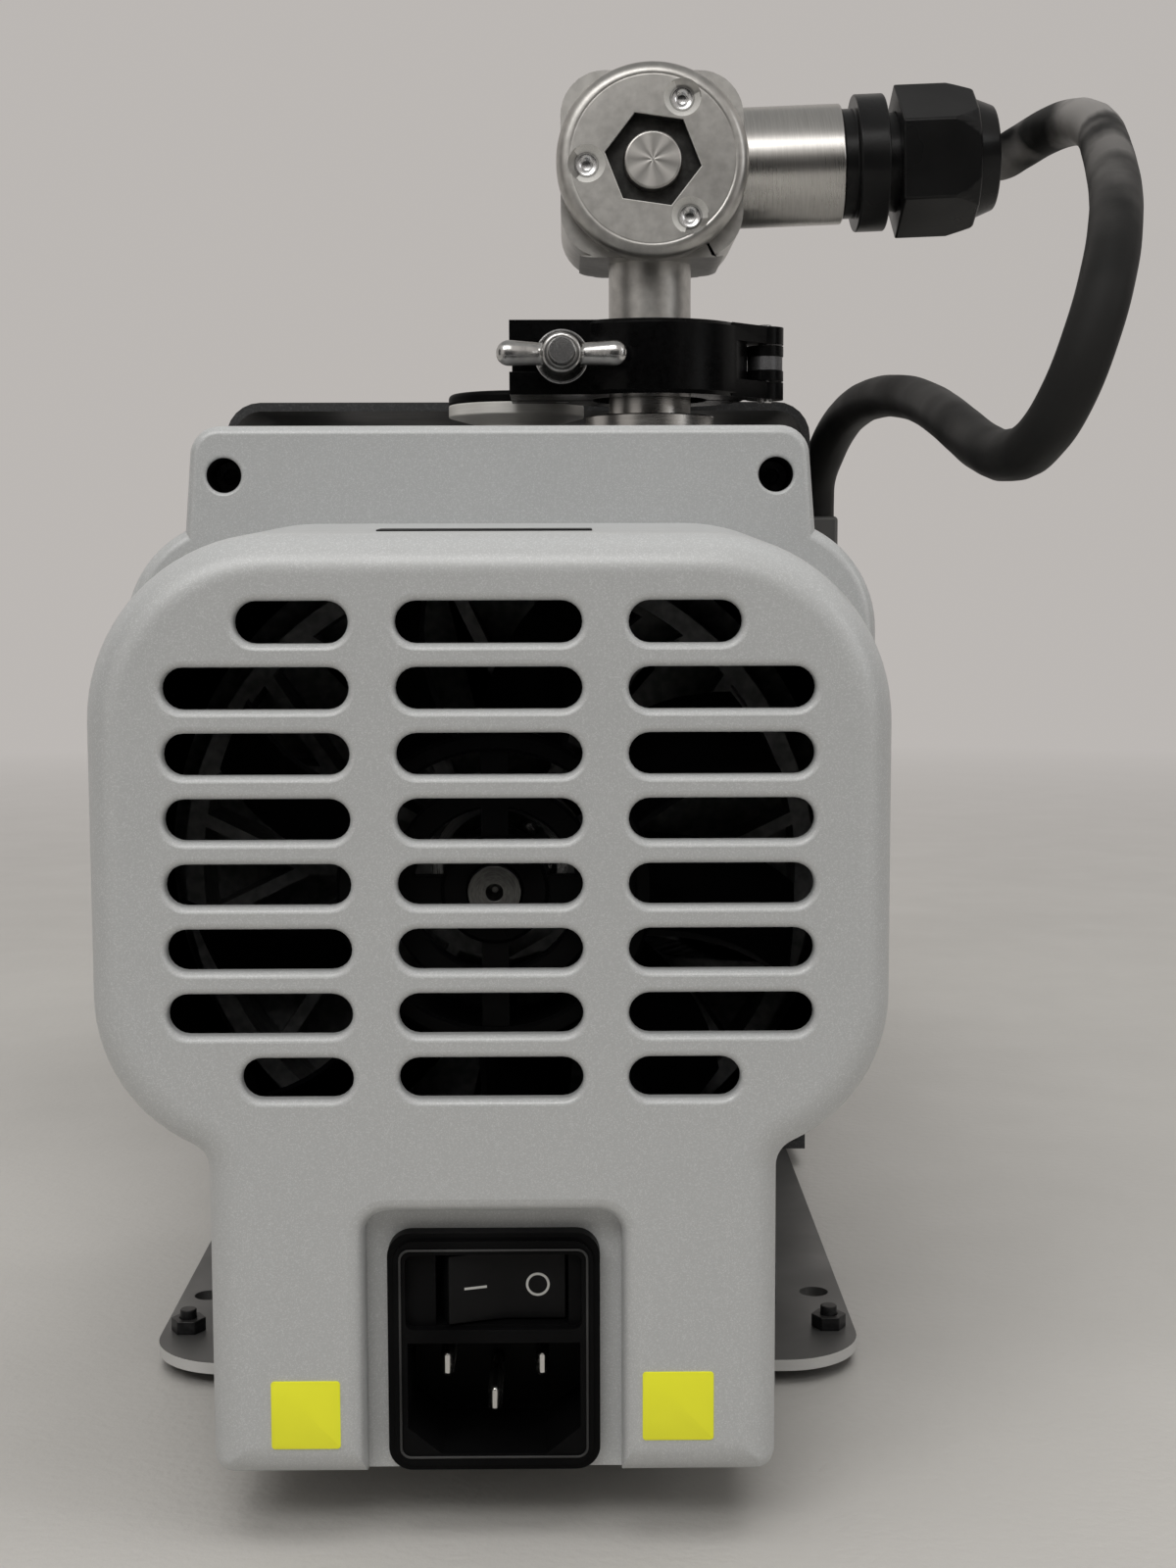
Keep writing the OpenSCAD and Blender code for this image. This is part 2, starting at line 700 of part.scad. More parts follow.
module inlet_pins() {
    back_y = panel_y - inlet_rim + socket_depth;
    color([0.8, 0.8, 0.78]) {
        for (s = [-1, 1])
            block([s * pin_span / 2 - 1, back_y - 14, socket_cz + pin_rise - 2],
                [s * pin_span / 2 + 1, back_y, socket_cz + pin_rise + 2]);
        block([-1, back_y - 15, socket_cz + pin_rise - earth_drop - 2],
            [1, back_y, socket_cz + pin_rise - earth_drop + 2]);
    }
}

// Outline of the rocker from above, at rest with its right end pressed in
module rocker_outline() {
    w = rocker_w / 2;
    rise = w * tan(rocker_tilt);
    polygon([
        [-w + 0.6, -3.4 - rise], [0, -3.4], [w - 0.6, -3.4 - rise],
        [w, 1], [3, 3.4], [-3, 3.4], [-w, 1]
    ]);
}

module rocker() {
    color([0.08, 0.08, 0.08]) translate([rocker_x, rocker_y, rocker_cz]) rotate([0, 0, rocker_tilt]) {
        translate([0, 0, -rocker_h / 2]) linear_extrude(rocker_h) rocker_outline();
        translate([0, 0, -rocker_h / 2 - 1.2]) cylinder(h = rocker_h + 2.4, r = 1.2);
    }
}

// Spirals: both walls are involutes of one base circle
involute_r = wrap_pitch / (2 * PI);
spiral_step = 15;

function turn_at(r) = sqrt(pow(r / involute_r, 2) - 1) * 180 / PI;

function involute(a, shift) =
    let (u = a * PI / 180 - shift)
        involute_r * [cos(a) + u * sin(a), sin(a) - u * cos(a)];

function spiral_wall(a0, a1, t) =
    let (n = ceil((a1 - a0) / spiral_step), s = t / (2 * involute_r))
        concat(
            [for (i = [0:n]) involute(a0 + (a1 - a0) * i / n, -s)],
            [for (i = [n:-1:0]) involute(a0 + (a1 - a0) * i / n, s)]
        );

wrap_start = turn_at(wrap_in_r);
wrap_end = turn_at(wrap_out_r);
orbit_wrap_end = wrap_end - 60;
seal_w = 1.2;
seal_depth = 1.3;
seal_rise = 0.12;
seal_start = wrap_start + 12;

module fixed_spiral(a0, a1, t, y0, y1) {
    translate([0, 0, shaft_z]) slab(y0, y1) polygon(spiral_wall(a0, a1, t));
}

module orbit_spiral(a0, a1, t, y0, y1) {
    translate([0, 0, crank_z]) slab(y0, y1) rotate(180) polygon(spiral_wall(a0, a1, t));
}

wrap_tip_y = fixed_plate_y + wrap_h;
orbit_tip_y = orbit_face_y - wrap_h;
front_hub_y = fixed_front_y - rib_h;
front_bearing_y = front_hub_y + 1;
front_bearing_t = 8;
step_y = collar_y + cowl_wall + 0.3;
duct_r = 2.6;
duct_wall = 2;
duct_angle = 120;
duct_radius = chamber_r + duct_r + 1.2;
duct_x = duct_radius * cos(duct_angle);
duct_z = shaft_z + duct_radius * sin(duct_angle);
channel_y = (fixed_front_y + fixed_plate_y) / 2;
discharge_radius = 14.6;
bolt_head_r = 1.8 * bolt_r;
ear_w = 14;

module forked_rib() {
    fork = 0.62 * nose_r;
    y0 = fixed_front_y - rib_h;
    y1 = fixed_front_y + 1;
    block([-rib_t / 2, y0, 13], [rib_t / 2, y1, fork]);
    for (s = [-1, 1])
        translate([0, 0, fork - 0.6]) rotate([0, s * 26, 0])
            block([-rib_t / 2, y0, 0], [rib_t / 2, y1, nose_r - fork]);
}

// Ear for a cowl screw, clear of the housing bolt below it
module cowl_ear() {
    x = cowl_screw_span / 2;
    web_x = bolt_offset - bolt_head_r - 0.8;
    block([x - ear_w / 2, cowl_end_y, cowl_screw_z - 11], [x + ear_w / 2, frame_y, cowl_screw_z + 5]);
    block([web_x - 7, cowl_end_y, shaft_z + 34], [web_x, frame_y, cowl_screw_z + 5]);
}

module fixed_scroll() {
    color([0.55, 0.56, 0.57]) difference() {
        union() {
            rod_y(nose_r, fixed_front_y, step_y + 1, 0, shaft_z);
            rod_y(casting_r, step_y, frame_y, 0, shaft_z);
            rod_y(15, front_hub_y, fixed_front_y + 1, 0, shaft_z);
            rod_y(duct_r + duct_wall, fixed_front_y, frame_y, duct_x, duct_z);
            difference() {
                rod_y(nose_r, front_hub_y, fixed_front_y + 1, 0, shaft_z);
                rod_y(nose_r - 3, front_hub_y - 1, fixed_front_y + 2, 0, shaft_z);
            }
            intersection() {
                translate([0, 0, shaft_z])
                    for (i = [0:rib_count - 1])
                        rotate([0, 360 * i / rib_count, 0]) forked_rib();
                rod_y(nose_r - 1, front_hub_y - 1, fixed_front_y + 1, 0, shaft_z);
            }
            rounded_slab(flange_w, flange_w, 9, fixed_flange_y, frame_y, 0, shaft_z);
            cowl_ear();
            mirror([1, 0, 0]) cowl_ear();
        }
        rod_y(chamber_r, fixed_plate_y, frame_y + 1, 0, shaft_z);
        rod_y(small_bearing_r, front_hub_y - 1, front_bearing_y + front_bearing_t, 0, shaft_z);
        rod_y(front_journal_r + 1, front_hub_y, frame_y, 0, shaft_z);
        translate([0, channel_y, shaft_z]) rotate([0, 90 - duct_angle, 0])
            translate([0, 0, discharge_radius]) cylinder(h = duct_radius - discharge_radius, r = duct_r - 0.5);
        rod_y(duct_r, channel_y, fixed_plate_y + 1, discharge_radius * cos(duct_angle),
            shaft_z + discharge_radius * sin(duct_angle));
        rod_y(duct_r, channel_y, frame_y + 1, duct_x, duct_z);
        for (x = [-1, 1], z = [-1, 1])
            rod_y(bolt_r + seat_gap, fixed_flange_y - 1, frame_y + 1, x * bolt_offset, shaft_z + z * bolt_offset);
        for (s = [-1, 1])
            rod_y(stud_r + seat_gap, cowl_end_y - 1, cowl_end_y + 12, s * cowl_screw_span / 2, cowl_screw_z);
    }
    color([0.7, 0.7, 0.7]) difference() {
        fixed_spiral(wrap_start, wrap_end, wrap_t, fixed_plate_y - eps, wrap_tip_y);
        fixed_spiral(seal_start, wrap_end - 12, seal_w, wrap_tip_y - seal_depth, wrap_tip_y + 1);
    }
}

module fixed_tip_seal() {
    color([0.9, 0.88, 0.8])
        fixed_spiral(seal_start, wrap_end - 12, seal_w - 0.1, wrap_tip_y - seal_depth, wrap_tip_y + seal_rise);
}

module orbiting_scroll() {
    color([0.62, 0.63, 0.64]) difference() {
        union() {
            rod_y(orbit_plate_r, orbit_face_y, orbit_back_y, 0, crank_z);
            rod_y(crank_bearing_r + 4.5, orbit_back_y - 1, orbit_back_y + hub_l, 0, crank_z);
            for (a = idler_angles)
                rod_y(pin_bush_r + 3, orbit_back_y - 1, orbit_back_y + 8,
                    idler_radius * cos(a), crank_z + idler_radius * sin(a));
            orbit_spiral(wrap_start, orbit_wrap_end, wrap_t, orbit_tip_y, orbit_face_y + 1);
        }
        rod_y(crank_bearing_r, pin_start_y - 1, orbit_back_y + hub_l + 1, 0, crank_z);
        rod_y(crank_pin_r, orbit_face_y - 1, pin_start_y, 0, crank_z);
        for (a = idler_angles)
            rod_y(pin_bush_r, orbit_back_y - 4, orbit_back_y + 9,
                idler_radius * cos(a), crank_z + idler_radius * sin(a));
        orbit_spiral(seal_start, orbit_wrap_end - 12, seal_w, orbit_tip_y - 1, orbit_tip_y + seal_depth);
    }
}

module orbiting_tip_seal() {
    color([0.9, 0.88, 0.8])
        orbit_spiral(seal_start, orbit_wrap_end - 12, seal_w - 0.1, orbit_tip_y - seal_rise,
            orbit_tip_y + seal_depth);
}

// Drive
shaft_front_y = face_y + fan_depth - 2;
crank_start_y = pin_start_y + 0.3;
crank_end_y = orbit_back_y + hub_l;
main_bearing_y = web_end_y - main_bearing_t;
stator_y = frame_end_y + 20;
motor_end_y = frame_end_y + motor_l;
rear_bearing_y = motor_end_y - 3;
shaft_r = 8;

module crankshaft() {
    color([0.7, 0.7, 0.72]) difference() {
        union() {
            rod_y(fan_seat_r, shaft_front_y, front_bearing_y, 0, shaft_z);
            rod_y(front_journal_r - run_gap, front_bearing_y - 1, crank_start_y + 1, 0, shaft_z);
            rod_y(crank_pin_r - run_gap, crank_start_y, crank_end_y, 0, crank_z);
            rod_y(main_journal_r + 3, crank_end_y + 0.3, crank_end_y + 3, 0, shaft_z);
            rod_y(main_journal_r - run_gap, crank_end_y - 0.5, web_end_y + 1, 0, shaft_z);
            rod_y(shaft_r, web_end_y + 0.1, stator_y + core_l + 6, 0, shaft_z);
            rod_y(front_journal_r - run_gap, stator_y + core_l, rear_bearing_y + front_bearing_t, 0, shaft_z);
        }
        translate([0, shaft_front_y - 1, shaft_z]) rotate([-90, 0, 0]) cylinder(h = 4, r1 = 1.6, r2 = 0.5);
    }
}

counterweight_y = crank_end_y + 3;
counterweight_t = 9;

module counterweight() {
    color([0.5, 0.5, 0.5]) difference() {
        union() {
            intersection() {
                rod_y(counterweight_r, counterweight_y, counterweight_y + counterweight_t, 0, shaft_z);
                block([-30, counterweight_y - 1, shaft_z - 30], [30, counterweight_y + 20, shaft_z - 1]);
            }
            rod_y(12, counterweight_y, counterweight_y + counterweight_t, 0, shaft_z);
        }
        rod_y(main_journal_r + seat_gap, counterweight_y - 1, counterweight_y + 20, 0, shaft_z);
    }
}

fan_y = face_y + fan_depth;

module ring_y(r_out, r_in, y0, y1) {
    difference() {
        rod_y(r_out, y0, y1, 0, shaft_z);
        rod_y(r_in, y0 - 1, y1 + 1, 0, shaft_z);
    }
}

// A curved blade that reaches outwards: its arc runs from one corner of its section to the other
module fan_blade(i) {
    lean = 7;
    bow = 22;
    chord = norm([fan_l, 2 * lean]);
    away = sqrt(pow(bow, 2) - pow(chord / 2, 2)) / chord;
    centre = [fan_l / 2 - 2 * lean * away, fan_l * away];
    translate([0, fan_y, shaft_z]) rotate([0, 360 * i / fan_blades, 0]) rotate([90, 0, 90])
        linear_extrude(fan_r + 1) intersection() {
            difference() {
                translate(centre) circle(bow + blade_t / 2);
                translate(centre) circle(bow - blade_t / 2);
            }
            translate([0, -lean - 2]) square([fan_l, 2 * lean + 4]);
        }
}

module cooling_fan() {
    color([0.1, 0.1, 0.1]) {
        difference() {
            union() {
                ring_y(fan_hub_r, 1, fan_y, fan_y + fan_l - 2);
                ring_y(16.3, 12.4, fan_y + 1, fan_y + 4);
                ring_y(fan_ring_r, fan_ring_r - 3.2, fan_y, fan_y + fan_l);
                for (a = [0, 90])
                    translate([0, 0, shaft_z]) rotate([0, a, 0])
                        block([-fan_ring_r + 1, fan_y + 1, -spoke_w / 2], [fan_ring_r - 1, fan_y + 4, spoke_w / 2]);
            }
            rod_y(fan_seat_r + seat_gap, fan_y - 2, fan_y + fan_l + 1, 0, shaft_z);
        }
        intersection() {
            ring_y(fan_r, fan_ring_r - 1, fan_y, fan_y + fan_l);
            for (i = [0:fan_blades - 1])
                fan_blade(i);
        }
    }
}

// A ball bearing on the shaft's axis
module ball_bearing(r_in, r_out, t, y, balls) {
    mid = (r_in + r_out) / 2;
    ball = (r_out - r_in) * 0.3;
    wall = (r_out - r_in) * 0.28;
    translate([0, y + t / 2, shaft_z]) rotate([90, 0, 0]) {
        difference() {
            cylinder(h = t, r = r_in + wall, center = true);
            cylinder(h = t + 2, r = r_in, center = true);
            rotate_extrude() translate([mid, 0]) circle(r = ball + seat_gap, $fn = 24);
        }
        difference() {
            cylinder(h = t, r = r_out - seat_gap, center = true);
            cylinder(h = t + 2, r = r_out - wall, center = true);
            rotate_extrude() translate([mid, 0]) circle(r = ball + seat_gap, $fn = 24);
        }
        for (i = [0:balls - 1])
            rotate([0, 0, 360 * i / balls]) translate([mid, 0, 0]) sphere(r = ball, $fn = 24);
    }
}

module main_bearings() {
    color([0.75, 0.75, 0.77]) {
        ball_bearing(front_journal_r, small_bearing_r, front_bearing_t, front_bearing_y, 7);
        ball_bearing(main_journal_r, main_bearing_r, main_bearing_t, main_bearing_y, 8);
        ball_bearing(front_journal_r, small_bearing_r, front_bearing_t, rear_bearing_y, 7);
    }
}

module crank_bearing() {
    color([0.75, 0.75, 0.77]) difference() {
        rod_y(crank_bearing_r - seat_gap, pin_start_y + 0.5, orbit_back_y + hub_l - 1, 0, crank_z);
        rod_y(crank_pin_r, pin_start_y - 1, orbit_back_y + hub_l, 0, crank_z);
    }
}

module bush(r_in, r_out, y0, y1, cz) {
    for (a = idler_angles) difference() {
        rod_y(r_out - seat_gap, y0, y1, idler_radius * cos(a), cz + idler_radius * sin(a));
        rod_y(r_in, y0 - 1, y1 + 1, idler_radius * cos(a), cz + idler_radius * sin(a));
    }
}

idler_disc_y = orbit_back_y + 8.6;
idler_disc_t = 4;

module orbit_bushes() {
    color([0.75, 0.6, 0.35]) bush(idler_pin_r, pin_bush_r, orbit_back_y - 3.6, orbit_back_y + 8, crank_z);
}

module frame_bushes() {
    color([0.75, 0.6, 0.35])
        bush(idler_journal_r, journal_bush_r, chamber_end_y - 12, chamber_end_y + 4, shaft_z);
}

module idler_crank(a) {
    x = idler_radius * cos(a);
    z = idler_radius * sin(a);
    color([0.68, 0.68, 0.7]) {
        rod_y(idler_journal_r - run_gap, idler_disc_y + eps, chamber_end_y + 3, x, shaft_z + z);
        rod_y(7.2, idler_disc_y, idler_disc_y + idler_disc_t, x, (shaft_z + crank_z) / 2 + z);
        rod_y(idler_pin_r - run_gap, orbit_back_y - 3, idler_disc_y + idler_disc_t, x, crank_z + z);
    }
}

module idler_crank_1() { idler_crank(idler_angles[0]); }
module idler_crank_2() { idler_crank(idler_angles[1]); }
module idler_crank_3() { idler_crank(idler_angles[2]); }

// Frame casting with its ducts
inlet_duct_r = 6.5;
inlet_duct_z = 150;
inlet_drop_y = chamber_end_y - 10;
duct_rise = 14;
pad_front_y = in_y - 19;
pad_half = 19;
foot_pad_t = 8;
foot_web = 9;

module frame_casting() {
    color([0.5, 0.51, 0.52]) difference() {
        union() {
            rounded_slab(flange_w, flange_w, 9, frame_y, frame_y + flange_t, 0, shaft_z);
            rod_y(casting_r - 1, frame_y + 1, frame_end_y, 0, shaft_z);
            block([duct_x - 6, frame_y + 1, shaft_z + 20], [inlet_x + pad_half, frame_end_y, inlet_duct_z + 10]);
            block([-pad_half, pad_front_y, shaft_z + motor_r + 0.5],
                [inlet_x + pad_half, ex_y + kf_r, port_pad_z]);
            block([-foot_bolt_x - 8, frame_y, plate_z], [foot_bolt_x + 8, foot_bolt_rear_y + 8, plate_z + foot_pad_t]);
            for (s = [-1, 1])
                block([s * 30 - foot_web / 2, frame_y, plate_z],
                    [s * 30 + foot_web / 2, foot_bolt_rear_y + 8, shaft_z - 30]);
        }
        rod_y(chamber_r, frame_y - 1, chamber_end_y, 0, shaft_z);
        rod_y(motor_r - motor_wall - 1, web_end_y, frame_end_y + 1, 0, shaft_z);
        rod_y(main_bearing_r, main_bearing_y, web_end_y + 1, 0, shaft_z);
        rod_y(12.5, chamber_end_y - 1, web_end_y, 0, shaft_z);
        for (a = idler_angles)
            rod_y(journal_bush_r, chamber_end_y - 1, chamber_end_y + 5, idler_radius * cos(a),
                shaft_z + idler_radius * sin(a));
        translate([inlet_x, in_y, inlet_duct_z]) cylinder(h = 40, r = bore_r);
        rod_y(inlet_duct_r, inlet_drop_y, in_y, inlet_x, inlet_duct_z);
        translate([inlet_x, inlet_drop_y, shaft_z + 25]) cylinder(h = inlet_duct_z - shaft_z - 25, r = inlet_duct_r);
        rod_y(duct_r, frame_y - 1, ex_y, duct_x, duct_z);
        translate([duct_x, ex_y, duct_z]) rotate([0, atan2(-duct_x, duct_rise), 0])
            cylinder(h = norm([duct_x, duct_rise]), r = duct_r);
        translate([0, ex_y, inlet_duct_z]) cylinder(h = 40, r = bore_r);
        for (x = [-1, 1], z = [-1, 1])
            rod_y(bolt_r + seat_gap, frame_y - 1, frame_y + flange_t + 1, x * bolt_offset, shaft_z + z * bolt_offset);
        for (x = [-1, 1], y = [foot_bolt_front_y, foot_bolt_rear_y])
            translate([x * foot_bolt_x, y, plate_z - 1]) cylinder(h = foot_pad_t + 2, r = bolt_r + seat_gap);
    }
    color([0.5, 0.51, 0.52]) for (a = idler_angles) difference() {
        rod_y(journal_bush_r + 2.5, chamber_end_y - 12, chamber_end_y + eps, idler_radius * cos(a),
            shaft_z + idler_radius * sin(a));
        rod_y(journal_bush_r, chamber_end_y - 13, chamber_end_y + 1, idler_radius * cos(a),
            shaft_z + idler_radius * sin(a));
    }
}

module hex_bolt_y(l, x, z, y) {
    rod_y(bolt_head_r, y - 4, y, x, z);
    rod_y(bolt_r, y - 1, y + l, x, z);
}

module housing_bolts() {
    color([0.3, 0.3, 0.3]) for (x = [-1, 1], z = [-1, 1])
        hex_bolt_y(2 * flange_t, x * bolt_offset, shaft_z + z * bolt_offset, fixed_flange_y);
}

module frame_bolts() {
    color([0.3, 0.3, 0.3]) {
        for (x = [-1, 1], y = [foot_bolt_front_y, foot_bolt_rear_y]) translate([x * foot_bolt_x, y, 0]) {
            translate([0, 0, plate_z + foot_pad_t]) cylinder(h = 4, r = bolt_head_r);
            translate([0, 0, foot_h + 0.2]) cylinder(h = base_t + foot_pad_t, r = bolt_r);
        }
        for (x = [-1, 1]) translate([x * motor_bolt_x, motor_foot_y, 0]) {
            translate([0, 0, plate_z + 3]) cylinder(h = 4, r = bolt_head_r);
            translate([0, 0, foot_h + 0.2]) cylinder(h = base_t + 3, r = bolt_r);
        }
    }
}

// Motor
module motor_shell() {
    color([0.42, 0.43, 0.44]) difference() {
        union() {
            rod_y(motor_r, frame_end_y, motor_end_y, 0, shaft_z);
            for (i = [0:motor_ribs - 1])
                translate([0, 0, shaft_z]) rotate([0, 360 * (i + 0.5) / motor_ribs, 0])
                    block([-1.2, frame_end_y + 12, motor_r - 1], [1.2, motor_end_y - 6, motor_r + motor_rib_h]);
        }
        rod_y(motor_r - motor_wall, frame_end_y - 1, motor_end_y + 1, 0, shaft_z);
    }
}

module stator_core() {
    color([0.35, 0.36, 0.4])
        ring_y(motor_r - motor_wall - seat_gap, rotor_r + air_gap, stator_y, stator_y + core_l);
}

winding_l = 14;

module end_winding(y) {
    translate([0, y, shaft_z]) rotate([-90, 0, 0]) rotate_extrude()
        polygon(concat(
            arc(34, winding_l - 3, 3, 180, 90, 4),
            arc(43, winding_l - 3, 3, 90, 0, 4),
            [[46, 0], [31, 0]]
        ));
}

module stator_windings() {
    color([0.72, 0.42, 0.2]) {
        end_winding(stator_y + core_l);
        translate([0, 2 * stator_y, 0]) mirror([0, 1, 0]) end_winding(stator_y);
    }
}

module rotor() {
    color([0.6, 0.6, 0.62]) ring_y(rotor_r, shaft_r + seat_gap, stator_y, stator_y + core_l);
}

module motor_end_bell() {
    bell_y = motor_end_y - 3;
    color([0.5, 0.51, 0.52]) difference() {
        union() {
            rod_y(motor_r - motor_wall - seat_gap, bell_y, bell_y + 4, 0, shaft_z);
            rod_y(motor_r, motor_end_y, motor_end_y + 6, 0, shaft_z);
            rod_y(small_bearing_r + 5, bell_y, bell_y + bell_t, 0, shaft_z);
            for (i = [0:5])
                translate([0, 0, shaft_z]) rotate([0, 60 * i, 0])
                    block([-1.5, motor_end_y + 5, 10], [1.5, motor_end_y + 10, motor_r - 6]);
        }
        rod_y(small_bearing_r, bell_y - 1, bell_y + 9, 0, shaft_z);
    }
}

motor_foot_half = 34;
motor_foot_l = 16;

module motor_foot() {
    color([0.3, 0.31, 0.32]) difference() {
        block([-motor_foot_half, motor_foot_y - motor_foot_l / 2, plate_z],
            [motor_foot_half, motor_foot_y + motor_foot_l / 2, shaft_z - 38]);
        rod_y(motor_r + 0.02, motor_foot_y - 20, motor_foot_y + 20, 0, shaft_z);
        for (i = [0:motor_ribs - 1])
            translate([0, 0, shaft_z]) rotate([0, 360 * (i + 0.5) / motor_ribs, 0])
                block([-1.6, motor_foot_y - 20, motor_r - 2], [1.6, motor_foot_y + 20, motor_r + motor_rib_h + 0.4]);
        block([3 - motor_foot_half, motor_foot_y - motor_foot_l / 2 - 1, plate_z + 3],
            [motor_foot_half - 3, motor_foot_y + motor_foot_l / 2 - 3, shaft_z - motor_r - motor_rib_h - 3]);
        for (x = [-1, 1])
            translate([x * motor_bolt_x, motor_foot_y, plate_z - 1]) cylinder(h = 5, r = bolt_r + seat_gap);
    }
}

// Rear cover and grille
cover_end_y = cover_front + cover_l;

module cover_outline(inset) {
    half = cover_w / 2 - inset;
    r = cover_r - inset;
    right = arc(half - r, cover_top - inset - r, r, 90, 0, 6);
    polygon(concat(right, [[half, plate_z]], [[-half, plate_z]], mirrored(right)));
}

module rear_cover() {
    color([0.2, 0.21, 0.22]) difference() {
        union() {
            slab(cover_front, cover_end_y) difference() {
                cover_outline(0);
                translate([0, -eps]) cover_outline(cover_t);
            }
            for (s = [-1, 1])
                block([s * (cover_w / 2 - cover_lip / 2 - 1) - cover_lip / 2, cover_front, plate_z],
                    [s * (cover_w / 2 - cover_lip / 2 - 1) + cover_lip / 2, mount_y - 7, plate_z + cover_t]);
        }
        for (x = [-1, 1], y = cover_screw_y)
            translate([x * cover_screw_x, y, plate_z - 1]) cylinder(h = cover_t + 2, r = stud_r + seat_gap);
    }
}

module cover_screws() {
    color([0.15, 0.15, 0.15]) for (x = [-1, 1], y = cover_screw_y) translate([x * cover_screw_x, y, 0]) {
        translate([0, 0, plate_z + cover_t]) cylinder(h = 1.8, r = 2.6);
        translate([0, 0, foot_h + 0.2]) cylinder(h = base_t + cover_t, r = stud_r);
    }
}

module rear_grille() {
    inner = cover_w / 2 - cover_t;
    low = plate_z + 6;
    pitch = (cover_top - low - 24) / grille_rows;
    color([0.2, 0.21, 0.22]) difference() {
        slab(cover_end_y - 4, cover_end_y - 2.5) difference() {
            translate([0, -eps]) cover_outline(cover_t);
            translate([-inner, 0]) square([2 * inner, low]);
        }
        for (i = [0:grille_rows - 1], s = [-1, 0, 1])
            stadium_y(s * inner * 0.62, low + 12 + pitch * (i + 0.5), inner * 0.52, pitch * 0.5,
                cover_end_y - 6, cover_end_y);
    }
}

// Small vacuum flange, its joint face at z = 0 and its tube running down
module kf_flange(l) {
    taper = (kf_r - tube_r) * tan(15);
    rotate_extrude() difference() {
        polygon([
            [0, 0], [kf_r, 0], [kf_r, -kf_rim], [tube_r, -kf_rim - taper], [tube_r, -l], [0, -l]
        ]);
        square([2 * bore_r, 4 * l], center = true);
        square([2 * tube_r, 2 * 2], center = true);
    }
}

module inlet_port() {
    top = joint_z - kf_gap / 2;
    color([0.78, 0.78, 0.8]) {
        translate([inlet_x, in_y, top]) kf_flange(top - port_pad_z);
        translate([inlet_x, in_y, port_pad_z]) difference() {
            cylinder(h = root_ring_h, r = root_ring_r);
            translate([0, 0, -1]) cylinder(h = root_ring_h + 2, r = tube_r - eps);
        }
    }
}

module centring_ring() {
    color([0.8, 0.8, 0.82]) translate([inlet_x, in_y, joint_z]) rotate_extrude() {
        translate([tube_r - 1.1, -kf_gap / 2 - 1.9]) square([1.05, kf_gap + 3.8]);
        translate([tube_r - 0.3, -kf_gap / 2]) square([0.7, kf_gap]);
    }
}

module o_ring() {
    r_in = tube_r + 0.4;
    color([0.1, 0.08, 0.07]) translate([inlet_x, in_y, joint_z]) rotate_extrude()
        polygon(concat(
            arc(r_in + kf_gap / 2 + 0.05, 0, kf_gap / 2, 90, 270, 8),
            arc(r_in + kf_gap / 2 + 1.2, 0, kf_gap / 2, -90, 90, 8)
        ));
}

module exhaust_port() {
    color([0.78, 0.78, 0.8]) translate([0, ex_y, exhaust_top]) kf_flange(exhaust_top - port_pad_z);
}

module exhaust_cap() {
    color([0.08, 0.08, 0.08]) translate([0, ex_y, exhaust_top]) {
        rotate_extrude() polygon([
            [0, 0], [kf_r, 0], [kf_r, cap_t - 0.6], [kf_r - 0.6, cap_t], [0, cap_t]
        ]);
        translate([0, 0, -1.9]) cylinder(h = 2, r = tube_r - 0.3);
    }
}

// Clamp
groove_lip = kf_gap / 2 + kf_rim + jaw_play;
groove_root = groove_lip + (kf_r + jaw_play - clamp_in_r + 1) * tan(15);
split = 0.8;
lug_x = bolt_x - 10.7;
rear_lug_back = 7.9;
ear_t = 3.6;
tongue_t = 2.1;
knuckle_r = 3.9;
knuckle_x = inlet_x + hinge_x;

module groove_ring() {
    rotate_extrude($fn = 96) difference() {
        polygon([
            [clamp_in_r, -clamp_h / 2], [clamp_r - 0.8, -clamp_h / 2], [clamp_r, -clamp_h / 2 + 0.8],
            [clamp_r, clamp_h / 2 - 0.8], [clamp_r - 0.8, clamp_h / 2], [clamp_in_r, clamp_h / 2]
        ]);
        polygon([
            [clamp_in_r - 1, -groove_root], [kf_r + jaw_play, -groove_lip],
            [kf_r + jaw_play, groove_lip], [clamp_in_r - 1, groove_root]
        ]);
    }
}

module knuckle(z0, z1, side) {
    difference() {
        union() {
            translate([knuckle_x, in_y, z0]) cylinder(h = z1 - z0, r = knuckle_r);
            translate([inlet_x, in_y, z0]) linear_extrude(z1 - z0) polygon([
                [15, 0], [hinge_x, 0], [hinge_x, side * knuckle_r], [16.5, side * 11.8]
            ]);
        }
        translate([knuckle_x, in_y, z0 - 1]) cylinder(h = z1 - z0 + 2, r = hinge_pin_r + run_gap);
        translate([inlet_x, in_y, z0 - 1]) cylinder(h = z1 - z0 + 2, r = clamp_in_r + 4);
    }
}

clamp_low = joint_z - clamp_h / 2;
clamp_high = joint_z + clamp_h / 2;
tongue_low = clamp_low + ear_t + jaw_play;
tongue_high = clamp_high - ear_t - jaw_play;
slot_half = swing_r + 0.4;

module half_ring(side) {
    intersection() {
        translate([inlet_x, in_y, joint_z]) groove_ring();
        block([inlet_x - 40, in_y + (side > 0 ? split : -40), clamp_low - 1],
            [inlet_x + 40, in_y + (side > 0 ? 40 : -split), clamp_high + 1]);
    }
}

